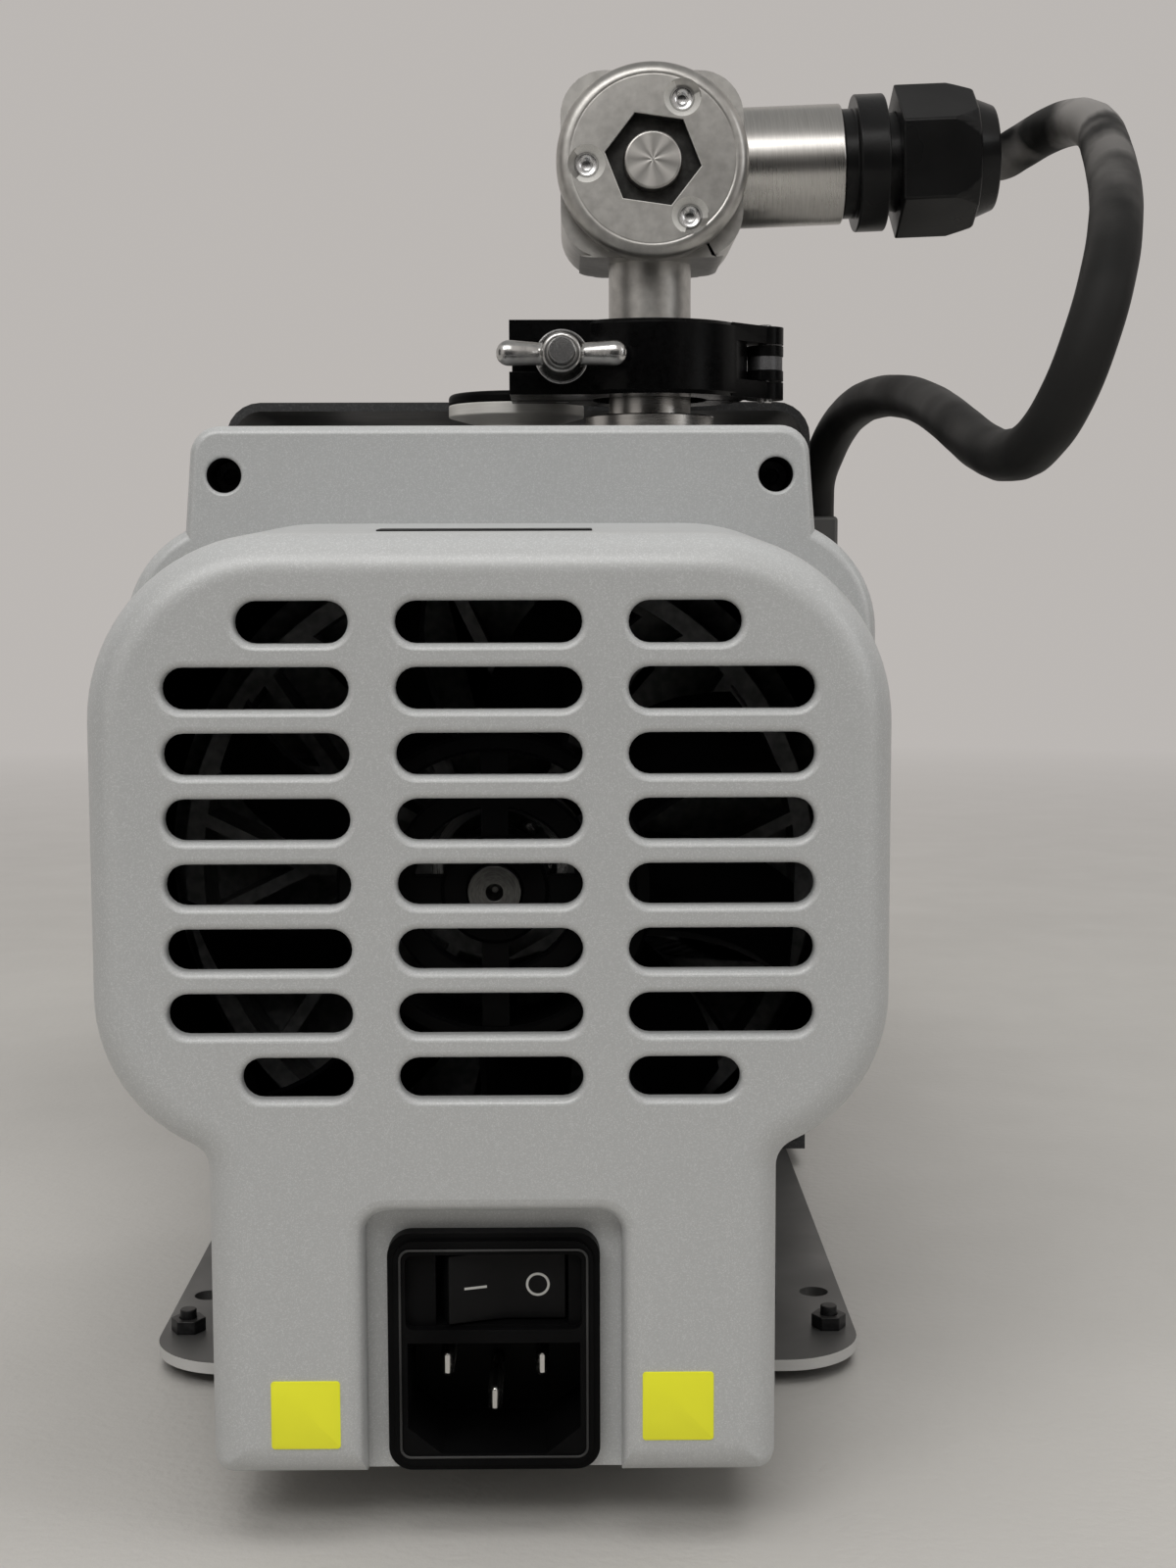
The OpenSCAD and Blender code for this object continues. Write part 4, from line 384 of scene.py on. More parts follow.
COWL_PAINT = Finish(
    "cowl_paint", (0.505, 0.515, 0.518), (0.62, 0.63, 0.635), Grain.PEEL,
    roughness=0.36, swing=0.05, metallic=0.1, grain_mm=0.5, depth_mm=0.008,
)
BLACK_PLASTIC = Finish(
    "black_plastic", (0.0025, 0.0025, 0.0027), (0.005, 0.005, 0.0053), Grain.STIPPLE,
    roughness=0.4, swing=0.08, grain_mm=0.7, depth_mm=0.008, specular=0.05,
)
# Lighter black that stands for a painted highlight on the raised line round the mains module's front.
EDGE_HIGHLIGHT = Finish(
    "worn_edge", (0.022, 0.022, 0.022), (0.05, 0.05, 0.05), Grain.STIPPLE,
    roughness=0.4, swing=0.08, grain_mm=3.0, specular=0.3,
)
ROCKER_PLASTIC = Finish(
    "rocker_plastic", (0.005, 0.005, 0.0052), (0.008, 0.008, 0.0084), Grain.STIPPLE,
    roughness=0.34, grain_mm=0.9, depth_mm=0.006, specular=0.09,
)
GLOSS_PLASTIC = Finish(
    "gloss_plastic", (0.003, 0.003, 0.0032), (0.005, 0.005, 0.0054), Grain.STIPPLE,
    roughness=0.3, swing=0.08, grain_mm=1.4, depth_mm=0.005, specular=0.08,
)
GLAND_PLASTIC = Finish(
    "gland_plastic", (0.008, 0.008, 0.0082), (0.013, 0.013, 0.0132), Grain.STIPPLE,
    roughness=0.3, swing=0.08, grain_mm=0.8, depth_mm=0.012, specular=0.2,
)
# Black that stands for painted shade inside the cowl, down its screw wells and on the sheet behind its
# slots; also the studio's dark cards.
SHADE_BLACK = Finish(
    "dark_lining", (0.006, 0.006, 0.0062), (0.009, 0.009, 0.0092), Grain.STIPPLE,
    roughness=0.7, swing=0.08, grain_mm=1.5, depth_mm=0.02, specular=0.06,
)
BLACK_RUBBER = Finish(
    "black_rubber", (0.012, 0.012, 0.012), (0.022, 0.022, 0.022), Grain.STIPPLE,
    roughness=0.75, swing=0.08, grain_mm=1.2, depth_mm=0.03, dust=DUSTY, specular=0.3,
)
CABLE_RUBBER = Finish(
    "cable_rubber", (0.013, 0.013, 0.0127), (0.27, 0.26, 0.252), Grain.SMEAR,
    roughness=0.55, swing=0.1, depth_mm=0.02, specular=0.14,
)
BLACK_STEEL = Finish(
    "black_steel", (0.014, 0.014, 0.015), (0.03, 0.03, 0.031), Grain.CAST,
    roughness=0.42, swing=0.08, metallic=0.6, grain_mm=0.6, depth_mm=0.008, dust=DUSTY, specular=0.3,
)
BLACK_COAT = Finish(
    "black_coat", (0.0022, 0.0022, 0.0023), (0.004, 0.004, 0.0042), Grain.CAST,
    roughness=0.26, swing=0.08, grain_mm=0.8, depth_mm=0.012, specular=0.09,
)
GREY_SHEET = Finish(
    "grey_sheet", (0.116, 0.116, 0.114), (0.163, 0.163, 0.16), Grain.SHEET,
    roughness=0.42, swing=0.1, metallic=0.6, depth_mm=0.006, lay=Lay.ALONG_Y, dust=0.08,
)
# Pale finish of the base plate's front edges.
PALE_EDGE = Finish(
    "raw_edge", (0.6, 0.6, 0.59), (0.74, 0.74, 0.73), Grain.SHEET,
    roughness=0.45, swing=0.08, metallic=0.25, depth_mm=0.006, lay=Lay.ALONG_X,
)
COVER_PAINT = Finish(
    "cover_paint", (0.04, 0.041, 0.043), (0.075, 0.076, 0.078), Grain.PEEL,
    roughness=0.45, metallic=0.2, depth_mm=0.012, dust=DUSTY,
)
CAST_GREY = Finish(
    "cast_grey", (0.2, 0.203, 0.207), (0.3, 0.302, 0.305), Grain.CAST,
    roughness=0.52, swing=0.08, metallic=0.75, depth_mm=0.06, dust=DUSTY,
)
MOTOR_PAINT = Finish(
    "motor_paint", (0.045, 0.047, 0.05), (0.08, 0.082, 0.085), Grain.CAST,
    roughness=0.5, swing=0.08, metallic=0.2, grain_mm=1.2, depth_mm=0.05, dust=DUSTY,
)
MACHINED = Finish(
    "machined_alloy", (0.6, 0.61, 0.62), (0.75, 0.755, 0.76), Grain.LINES,
    roughness=0.3, swing=0.08, metallic=1.0, depth_mm=0.004, dust=DUSTY,
)
STAINLESS = Finish(
    "stainless", (0.52, 0.507, 0.485), (0.62, 0.605, 0.58), Grain.LINES,
    roughness=0.28, swing=0.03, metallic=1.0, grain_mm=0.8, depth_mm=0.002,
)
SATIN_STEEL = Finish(
    "satin_steel", (0.46, 0.45, 0.43), (0.56, 0.55, 0.525), Grain.CAST,
    roughness=0.4, metallic=1.0, grain_mm=1.4, depth_mm=0.006,
)
# Lighter, less metallic steel: painted light on the exhaust tube where it lies in shade, and painted
# highlights on the valve disc's lips and dished holes.
PAINTED_LIGHT_STEEL = Finish(
    "bright_tube", (0.72, 0.71, 0.68), (0.82, 0.81, 0.78), Grain.LINES,
    roughness=0.4, swing=0.05, metallic=0.3, grain_mm=0.8, depth_mm=0.002,
)
# Near-black steel that stands for painted shade deep in the valve disc's hexagonal recess.
RECESS_SHADE = Finish(
    "recess_steel", (0.022, 0.0215, 0.02), (0.05, 0.049, 0.046), Grain.CAST,
    roughness=0.45, metallic=0.5, depth_mm=0.004,
)
# Radial bands of lighter and darker steel: painted highlights of turned metal, over a matching radial bump.
POST_RAYS_AND_SHEEN = Finish(
    "post_facets", (0.44, 0.43, 0.41), (0.56, 0.545, 0.52), Grain.RAYS,
    roughness=0.4, swing=0.05, metallic=1.0, depth_mm=0.016,
)
SHAFT_END = Finish(
    "shaft_steel", (0.12, 0.12, 0.115), (0.2, 0.2, 0.19), Grain.LINES,
    roughness=0.36, metallic=1.0, grain_mm=0.6, depth_mm=0.003,
)
GROUND_STEEL = Finish(
    "ground_steel", (0.55, 0.55, 0.55), (0.7, 0.7, 0.7), Grain.LINES,
    roughness=0.22, metallic=1.0, grain_mm=0.5, depth_mm=0.002,
)
DARK_STEEL = Finish(
    "dark_steel", (0.12, 0.12, 0.125), (0.2, 0.2, 0.205), Grain.LINES,
    roughness=0.4, swing=0.08, metallic=0.9, grain_mm=0.9, depth_mm=0.006, dust=DUSTY,
)
LAMINATED = Finish(
    "laminated_steel", (0.16, 0.16, 0.165), (0.3, 0.3, 0.3), Grain.LINES,
    roughness=0.45, swing=0.08, metallic=0.9, grain_mm=1.6, depth_mm=0.02, lay=Lay.ALONG_X, dust=DUSTY,
)
CAST_NUT = Finish(
    "cast_nut", (0.5, 0.495, 0.485), (0.66, 0.655, 0.64), Grain.CAST,
    roughness=0.24, metallic=1.0, grain_mm=1.2, depth_mm=0.03,
)
BRONZE = Finish(
    "bronze", (0.42, 0.25, 0.09), (0.55, 0.35, 0.15), Grain.LINES,
    roughness=0.35, swing=0.08, metallic=1.0, depth_mm=0.004, dust=DUSTY,
)
COPPER = Finish(
    "copper_wire", (0.42, 0.12, 0.03), (0.2, 0.05, 0.012), Grain.WOUND,
    roughness=0.34, metallic=0.7, depth_mm=0.25, dust=DUSTY,
)
SEAL_WHITE = Finish(
    "seal_white", (0.68, 0.66, 0.6), (0.58, 0.55, 0.48), Grain.STIPPLE,
    roughness=0.55, grain_mm=1.6, dust=DUSTY,
)
PIN_METAL = Finish(
    "pin_metal", (0.52, 0.51, 0.49), (0.66, 0.65, 0.63), Grain.LINES,
    roughness=0.22, swing=0.05, metallic=1.0, grain_mm=0.5, depth_mm=0.003, lay=Lay.ALONG_Y,
)
STICKER_YELLOW = Finish(
    "sticker_yellow", (0.98, 0.98, 0.03), (0.92, 0.92, 0.026), Grain.STIPPLE,
    roughness=0.5, swing=0.05, grain_mm=2.0, depth_mm=0.004,
)
MARK_WHITE = Finish(
    "mark_white", (0.62, 0.62, 0.6), (0.52, 0.52, 0.5), Grain.STIPPLE,
    roughness=0.5, swing=0.05, grain_mm=0.8, depth_mm=0.003,
)

NAMESAKES = (
    GREY_SHEET, BLACK_RUBBER, BLACK_STEEL, COWL_PAINT, BLACK_PLASTIC, PIN_METAL, CAST_GREY, SEAL_WHITE,
    MACHINED, GROUND_STEEL, DARK_STEEL, BRONZE, MOTOR_PAINT, COPPER, COVER_PAINT, STAINLESS, CAST_NUT,
    GLAND_PLASTIC, CABLE_RUBBER,
)
SLOT_FINISHES: dict[str, Finish] = {finish.name: finish for finish in NAMESAKES} | {
    "rocker_plastic": GLOSS_PLASTIC,
    "fan_plastic": GLOSS_PLASTIC,
    "polished_stainless": STAINLESS,
    "brushed_post": STAINLESS,
    "cap_plastic": BLACK_PLASTIC,
    "black_coated": BLACK_COAT,
}


# ---------------------------------------------------------------- meshes


def arc(cx: float, cy: float, r: float, a0: float, a1: float, n: int, first: int = 0) -> Outline:
    """Points of an arc, from one angle to another.

    Args:
        cx: The centre's first coordinate.
        cy: The centre's second coordinate.
        r: The radius.
        a0: The first angle, in degrees.
        a1: The last angle.
        n: How many steps it takes.
        first: The step that it starts with.

    Returns:
        The points.
    """
    turns = [math.radians(a0 + (a1 - a0) * i / n) for i in range(first, n + 1)]
    return [(cx + r * math.cos(a), cy + r * math.sin(a)) for a in turns]


def circle(r: float, steps: int = 40) -> Outline:
    """Outline of a circle about its own centre."""
    return arc(0, 0, r, 0, 360, steps)[:-1]


def mirrored(right: Outline) -> Outline:
    """A right half followed by its mirror image, as one closed outline."""
    return right + [(-x, z) for x, z in reversed(right) if abs(x) > 1e-6]


def stadium(length: float, height: float, steps: int = 12) -> Outline:
    """Outline of a slot with round ends, about its own centre."""
    r = height / 2
    return arc(length / 2 - r, 0, r, -90, 90, steps) + arc(r - length / 2, 0, r, 90, 270, steps)


def rounded_box(w: float, h: float, r: float, steps: int = 6, grow: float = 0.0) -> Outline:
    """Outline of a box with round corners, about its own centre, moved out by grow."""
    x, z = w / 2 - r, h / 2 - r
    corners = enumerate(((x, z), (-x, z), (-x, -z), (x, -z)))
    return [p for k, (cx, cz) in corners for p in arc(cx, cz, r + grow, 90 * k, 90 * (k + 1), steps)]


def shifted(outline: Outline, x: float, z: float) -> Outline:
    """The same outline, moved."""
    return [(px + x, pz + z) for px, pz in outline]


def shown(name: str, data: bpy.types.ID) -> Piece:
    """Puts data into the scene as a new object."""
    made = bpy.data.objects.new(name, data)
    bpy.context.scene.collection.objects.link(made)
    return made


def moved(piece: Piece, x: float, z: float) -> None:
    """Moves a piece's mesh in X and Z."""
    piece.data.transform(Matrix.Translation((x * MM, 0, z * MM)))


def turned(bm: Mesh, angle: float, axis: str, shift: Point) -> None:
    """Turns a mesh by an angle in degrees about an axis through the origin, and then moves it."""
    turn = Matrix.Rotation(math.radians(angle), 3, axis)
    bmesh.ops.rotate(bm, verts=bm.verts, cent=(0, 0, 0), matrix=turn)
    bmesh.ops.translate(bm, verts=bm.verts, vec=shift)


def stitch(bm: Mesh, first: Sequence, second: Sequence) -> None:
    """Joins two closed loops of vertices by a band of faces."""
    for i in range(len(first)):
        j = (i + 1) % len(first)
        bm.faces.new((first[i], first[j], second[j], second[i]))


class Bench:
    """Makes meshes in metres from sizes in millimetres, and puts finished pieces on their bodies."""

    def __init__(self, frame: dict) -> None:
        """Keeps the frame that the pieces are built round.
        """
        self.frame = frame
        self.count = 0

    def body_of(self, node: str) -> str:
        """Name of the body that a node of the solids rides on."""
        return str(self.frame["nodes"][node]["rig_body"])

    def slot_of(self, node: str) -> str:
        """Name of the record's material slot of a node."""
        for row in self.frame["record"]["subparts"]:
            if row["node"] == node:
                return str(row["material_slot"])
        raise KeyError(node)

    def new(self, name: str, bm: Mesh, finish: Finish | None = None) -> Piece:
        """Turns a bmesh in millimetres into an object in metres.

        Args:
            name: The object's name.
            bm: The mesh, which is freed.
            finish: Its finish, if it is shown.

        Returns:
            The object, linked to the scene and not yet on a body.
        """
        bmesh.ops.scale(bm, vec=(MM, MM, MM), verts=bm.verts)
        mesh = bpy.data.meshes.new(name)
        bm.to_mesh(mesh)
        bm.free()
        piece = shown(name, mesh)
        self.shade(piece)
        if finish:
            mesh.materials.append(finish.material())
        return piece

    def shade(self, piece: Piece, sharp: float = SHARP_DEG) -> None:
        """Smooths a piece's shading, but for edges sharper than an angle in degrees."""
        piece.data.shade_smooth()
        piece.data.set_sharp_from_angle(angle=math.radians(sharp))

    def keep_flat(self, piece: Piece) -> None:
        """Keeps the shading of a piece's large flats flat up to its rounded edges."""
        even = piece.modifiers.new("even", "WEIGHTED_NORMAL")
        even.keep_sharp = True

    def paint(self, piece: Piece, *finishes: Finish, pick: Picker | None = None) -> None:
        """Gives a piece its finishes, in place of any that it has.

        Args:
            piece: The piece.
            *finishes: The finishes.
            pick: What gives a face's place among them, where there are more than one.
        """
        piece.data.materials.clear()
        for finish in finishes:
            piece.data.materials.append(finish.material())
        for face in piece.data.polygons if pick else ():
            face.material_index = pick(face)

    def loft(self, rings: Sequence[Sequence[Point]]) -> Mesh:
        """Skins rings that all have the same number of points, and caps both ends.

        Args:
            rings: The rings' points.

        Returns:
            The mesh, its faces outwards.
        """
        bm = bmesh.new()
        loops = [[bm.verts.new(p) for p in ring] for ring in rings]
        for a, b in zip(loops, loops[1:]):
            stitch(bm, a, b)
        bm.faces.new(loops[0])
        bm.faces.new(loops[-1])
        bmesh.ops.recalc_face_normals(bm, faces=bm.faces)
        return bm

    def prism(self, rings: Rings) -> Mesh:
        """Skins outlines in X and Z that stand at given places along Y."""
        return self.loft([[(x, y, z) for x, z in outline] for y, outline in rings])

    def bar(self, name: str, outline: Outline, y0: float, y1: float, finish: Finish | None = None) -> Piece:
        """Makes a straight bar of one outline between two places along Y."""
        return self.new(name, self.prism([(y0, outline), (y1, outline)]), finish)

    def lathe(
        self, profile: Outline, origin: Point, axis: Point, steps: int, closed: bool = True
    ) -> Mesh:
        """Turns a profile round an axis.

        Args:
            profile: Points of (radius, distance along the axis), in order round the section.
            origin: A point on the axis.
            axis: The axis's direction.
            steps: How many steps the turn takes.
            closed: Whether the profile's last point joins its first.

        Returns:
            The mesh, its faces outwards.
        """
        turn = Vector(axis).normalized().to_track_quat("Z", "Y").to_matrix()
        start = Vector(origin)
        bm = bmesh.new()
        rows = []
        angles = [2 * math.pi * k / steps for k in range(steps)]
        for r, h in profile:
            ring = [Vector((r * math.cos(a), r * math.sin(a), h)) for a in angles]
            rows.append([bm.verts.new(start + turn @ p) for p in ring])
        for a, b in zip(rows, rows[1:] + (rows[:1] if closed else [])):
            stitch(bm, a, b)
        bmesh.ops.remove_doubles(bm, verts=bm.verts, dist=1e-4)
        flat = [f for f in bm.faces if f.calc_area() < 1e-9]
        bmesh.ops.delete(bm, geom=flat, context="FACES")
        bmesh.ops.recalc_face_normals(bm, faces=bm.faces)
        return bm

    def flared(self, outline: Shape, y0: float, y1: float, lip: float) -> Mesh:
        """Skins a cutter whose mouth widens at the front, which leaves a rounded lip.

        Args:
            outline: What gives the cutter's outline for a growth.
            y0: Where the surface that it cuts lies along Y.
            y1: Where the cutter ends.
            lip: The radius of the lip.

        Returns:
            The mesh.
        """
        turns = [math.radians(84 - 14 * i) for i in range(7)]
        rings = [(y0 - 1.0, outline(lip + 0.3))]
        rings += [(y0 + lip * (1 - math.sin(t)), outline(lip * (1 - math.cos(t)))) for t in turns]
        rings.append((y1, outline(0.0)))
        return self.prism(rings)

    def settle(self, piece: Piece) -> None:
        """Applies every modifier of a piece, so that its mesh holds the result."""
        graph = bpy.context.evaluated_depsgraph_get()
        made = bpy.data.meshes.new_from_object(
            piece.evaluated_get(graph), preserve_all_data_layers=True, depsgraph=graph
        )
        piece.modifiers.clear()
        old = piece.data
        piece.data = made
        made.name = old.name
        bpy.data.meshes.remove(old)

    def combine(self, piece: Piece, others: Sequence[Piece], how: str) -> None:
        """Joins other solids to a piece or cuts them out of it, and removes them.

        Args:
            piece: The piece that is changed.
            others: The solids.
            how: UNION or DIFFERENCE.
        """
        for other in others:
            step = piece.modifiers.new("cut", "BOOLEAN")
            step.operation = how
            step.object = other
            step.solver = "EXACT"
        self.settle(piece)
        for other in others:
            mesh = other.data
            bpy.data.objects.remove(other)
            bpy.data.meshes.remove(mesh)

    def soften(self, piece: Piece, width: float, segments: int = 2) -> Piece:
        """Rounds the sharp edges of a piece and keeps its flats flat.

        Args:
            piece: The piece.
            width: The rounding's width.
            segments: How many steps it has.

        Returns:
            The piece.
        """
        edge = piece.modifiers.new("edges", "BEVEL")
        edge.width = width * MM
        edge.segments = segments
        edge.limit_method = "ANGLE"
        edge.angle_limit = math.radians(ROUNDED_DEG)
        edge.miter_outer = "MITER_ARC"
        self.keep_flat(piece)
        return piece

    def copy_of(self, node: str, name: str, finish: Finish, width: float = 0.3, segments: int = 2) -> Piece:
        """Makes a softened copy of a node of the solids and puts it in that node's place.

        Args:
            node: The node.
            name: The piece's name.
            finish: Its finish.
            width: The width of its rounded edges, or 0.
            segments: How many steps they have.

        Returns:
            The piece, on the node's body.
        """
        bm = bmesh.new()
        bm.from_mesh(self.frame["nodes"][node].data)
        bmesh.ops.remove_doubles(bm, verts=bm.verts, dist=2e-6)
        bmesh.ops.dissolve_limit(bm, angle_limit=math.radians(0.4), verts=bm.verts, edges=bm.edges)
        points = [v.co / MM for v in bm.verts]
        bm.verts.index_update()
        faces = [[v.index for v in f.verts] for f in bm.faces]
        bm.free()
        clean = bmesh.new()
        verts = [clean.verts.new(p) for p in points]
        for face in faces:
            if len(set(face)) > 2:
                clean.faces.new([verts[i] for i in face])
        piece = self.new(name, clean, finish)
        if width:
            self.soften(piece, width, segments)
        return self.place(piece, self.body_of(node), self.slot_of(node), node)

    def copies(self, *rows: tuple) -> None:
        """Makes softened copies of several nodes, each from a row of copy_of's values."""
        for row in rows:
            self.copy_of(*row)

    def place(self, piece: Piece, body: str, slot: str, *nodes: str) -> Piece:
        """Puts a piece on its body and hides the nodes that it stands for.

        Args:
            piece: The piece.
            body: The body that carries it.
            slot: The record's material slot; not used.
            *nodes: The nodes of the solids that it replaces.

        Returns:
            The piece.
        """
        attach(piece, body)
        if nodes:
            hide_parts(*nodes)
        self.count += 1
        LOG.info("%s on %s%s", piece.name, body, f" for {', '.join(nodes)}" if nodes else "")
        return piece


class Recipe(Wiring):
    """A Geometry Nodes tree that lays copies of a piece's own mesh in rows or rings."""

    def __init__(self, name: str) -> None:
        """Starts a tree with a geometry input and output.

        Args:
            name: The tree's name.
        """
        super().__init__(bpy.data.node_groups.new(name, "GeometryNodeTree"))
        self.keys: dict[str, str] = {}
        for way in ("INPUT", "OUTPUT"):
            self.tree.interface.new_socket("Geometry", in_out=way, socket_type="NodeSocketGeometry")
        self.start = self.tree.nodes.new("NodeGroupInput")
        self.end = self.tree.nodes.new("NodeGroupOutput")

    def ask(self, label: str, kind: str = "Float") -> Socket:
        """Adds a named input and gives its socket inside the tree."""
        made = self.tree.interface.new_socket(label, in_out="INPUT", socket_type=f"NodeSocket{kind}")
        self.keys[label] = made.identifier
        return self.start.outputs[label]

    def lay(self, points: Socket, **inputs: object) -> None:
        """Puts copies on points, makes them one mesh and gives them the material that is asked for."""
        source = {"Points": points, "Instance": self.start.outputs["Geometry"], **inputs}
        laid = self.add("GeometryNodeInstanceOnPoints", source).outputs[0]
        real = self.add("GeometryNodeRealizeInstances", {"Geometry": laid}).outputs[0]
        material = self.ask("Material", "Material")
        done = self.add("GeometryNodeSetMaterial", {"Geometry": real, "Material": material}).outputs[0]
        self.join(done, self.end.inputs[0])

    def run(self, bench: Bench, piece: Piece, values: dict[str, object]) -> None:
        """Runs the tree on a piece and keeps the plain mesh that it makes.

        Args:
            bench: The bench that settles the piece.
            piece: The piece whose mesh is repeated.
            values: A value for each named input.
        """
        step = piece.modifiers.new(self.tree.name, "NODES")
        step.node_group = self.tree
        for label, value in values.items():
            step[self.keys[label]] = value
        bench.settle(piece)
        bench.shade(piece)


def lay_round(bench: Bench, piece: Piece, count: int, finish: Finish) -> None:
    """Repeats a piece's mesh evenly round the Y axis.

    Args:
        bench: The bench that settles the piece.
        piece: The piece.
        count: How many copies there are.
        finish: Their finish.
    """
    recipe = Recipe("ring_of_copies")
    asked = {"Count": recipe.ask("Count", "Int"), "Offset": (0.0, 0.0, 0.0)}
    turn = recipe.ask("Turn", "Vector")
    line = recipe.add("GeometryNodeMeshLine", asked, mode="OFFSET")
    index = recipe.add("GeometryNodeInputIndex").outputs[0]
    spin = recipe.add("ShaderNodeVectorMath", {0: turn, "Scale": index}, operation="SCALE").outputs[0]
    recipe.lay(line.outputs[0], Rotation=spin)
    step = (0.0, 2 * math.pi / count, 0.0)
    recipe.run(bench, piece, {"Count": count, "Turn": step, "Material": finish.material()})


def grid_recipe() -> Recipe:
    """Copies in a grid across X and Z: Columns, Width, Rows, Height and Material."""
    recipe = Recipe("grid_of_copies")
    asked = {"Vertices X": recipe.ask("Columns", "Int"), "Size X": recipe.ask("Width")}
    asked |= {"Vertices Y": recipe.ask("Rows", "Int"), "Size Y": recipe.ask("Height")}
    grid = recipe.add("GeometryNodeMeshGrid", asked).outputs[0]
    upright = {"Geometry": grid, "Rotation": (math.pi / 2, 0.0, 0.0)}
    recipe.lay(recipe.add("GeometryNodeTransform", upright).outputs[0])
    return recipe


# ---------------------------------------------------------------- sub-assemblies


@dataclass
class Studio:
    """Camera, lamps, floor and the pale wall round them."""

    eye: Point = (11.02, -498.39, 141.61)
    pitch: float = 5.58
    yaw: float = 0.55
    roll: float = -0.16
    lens: float = 49.5
    floor_r: float = 1500.0
    wall_r: float = 2600.0
    wall_colour: Colour = (0.5, 0.475, 0.455)
    floor_colour: Colour = (0.6, 0.585, 0.56)

    def camera(self) -> None:
        """Puts the camera where the photograph was taken from."""
        p, y, r = (math.radians(a) for a in (self.pitch, self.yaw, self.roll))
        ahead = Vector((math.sin(y) * math.cos(p), math.cos(y) * math.cos(p), -math.sin(p)))
        right = Vector((math.cos(y), -math.sin(y), 0.0))
        up = right.cross(ahead)
        right, up = math.cos(r) * right + math.sin(r) * up, math.cos(r) * up - math.sin(r) * right
        data = bpy.data.cameras.new("camera")
        data.lens = self.lens
        data.sensor_width = 36.0
        data.clip_start = 0.01
        data.clip_end = 20.0
        camera = shown("camera", data)
        turn = Matrix((right, up, -ahead)).transposed().to_4x4()
        camera.matrix_world = Matrix.Translation(Vector(self.eye) * MM) @ turn
        bpy.context.scene.camera = camera

    def lamp(
        self, name: str, place: Point, aim: Point, size: tuple[float, float], power: float, warm: Colour,
        mirrored_in: bool = True,
    ) -> None:
        """Adds a soft rectangular lamp.

        Args:
            name: The lamp's name.
            place: Where it hangs, in metres.
            aim: What it points at, in metres.
            size: Its width and height, in metres.
            power: Its power, in watts.
            warm: Its colour.
            mirrored_in: Whether shiny surfaces show it.
        """
        data = bpy.data.lights.new(name, "AREA")
        data.shape = "RECTANGLE"
        data.size, data.size_y = size
        data.energy = power
        data.color = warm
        lamp = shown(name, data)
        lamp.visible_glossy = mirrored_in
        lamp.location = place
        lamp.rotation_euler = (Vector(aim) - Vector(place)).to_track_quat("-Z", "Y").to_euler()

    def ground(self, bench: Bench) -> None:
        """Makes the floor, which curves up into a wall on all sides, and its finish."""
        rise = self.wall_r - self.floor_r
        profile = [(0.0, 0.0), (300.0, 0.0), (self.floor_r, 0.0)]
        profile += [(self.floor_r + x, rise + z) for x, z in arc(0, 0, rise, -90, 0, 12, 1)]
        profile.append((self.wall_r, 3200.0))
        bm = bench.lathe(profile, (0, 0, 0), (0, 0, 1), 96, closed=False)
        bmesh.ops.reverse_faces(bm, faces=bm.faces)
        floor = bench.new("studio_floor", bm)
        g = Graph("studio_surface")
        place = g.add("ShaderNodeTexCoord").outputs["Object"]
        patch = g.noise(place, 160.0, 4.0)
        darker = tuple(0.93 * c for c in self.floor_colour)
        colour = g.mix(g.span(patch, 0.35, 0.65, 0.0, 1.0), self.floor_colour, darker)
        g.join(colour, g.shader.inputs["Base Color"])
        g.join(g.span(g.noise(place, 30.0, 4.0), 0.3, 0.7, 0.42, 0.6), g.shader.inputs["Roughness"])
        g.emboss(g.noise(place, 2.0, 3.0), 0.2 * MM)
        glow = g.add("ShaderNodeEmission", {"Color": (*self.wall_colour, 1.0)})
        rays = g.add("ShaderNodeLightPath").outputs
        bounced = g.sum("MAXIMUM", rays["Is Glossy Ray"], rays["Is Transmission Ray"])
        seen = g.sum("MAXIMUM", rays["Is Camera Ray"], bounced)
        far = g.vector("LENGTH", g.vector("MULTIPLY", place, (1.0, 1.0, 0.0)), result=1)
        share = g.sum("MULTIPLY", seen, g.span(far, 0.3, 1.3, 0.0, 1.0))
        both = g.add("ShaderNodeMixShader", {0: share, 1: g.shader.outputs[0], 2: glow.outputs[0]})
        g.join(both.outputs[0], g.output.inputs["Surface"])
        floor.data.materials.append(g.material)
        floor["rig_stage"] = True

    def flag(self, name: str, place: Point, size: tuple[float, float], tilt: Point) -> None:
        """Hangs a dark card that only reflections show.

        Args:
            name: The card's name.
            place: Its middle, in metres.
            size: Its width and height, in metres.
            tilt: How it is turned about X, Y and Z, in degrees.
        """
        bm = bmesh.new()
        bmesh.ops.create_grid(bm, x_segments=4, y_segments=4, size=0.5)
        mesh = bpy.data.meshes.new(name)
        bm.to_mesh(mesh)
        bm.free()
        card = shown(name, mesh)
        turn = Matrix.Identity(4)
        for angle, axis in zip(tilt, "XYZ", strict=True):
            turn = Matrix.Rotation(math.radians(angle), 4, axis) @ turn
        card.matrix_world = Matrix.Translation(place) @ turn @ Matrix.Diagonal((*size, 1, 1))
        card.visible_camera = card.visible_diffuse = card.visible_shadow = False
        mesh.materials.append(SHADE_BLACK.material())
        card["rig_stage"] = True

    def sky(self) -> None:
        """Lights the scene softly from all sides above the wall."""
        world = bpy.data.worlds.new("studio_air")
        world.use_nodes = True
        back = world.node_tree.nodes["Background"]
        back.inputs["Color"].default_value = (1.0, 0.99, 0.97, 1.0)
        back.inputs["Strength"].default_value = 0.33
        bpy.context.scene.world = world

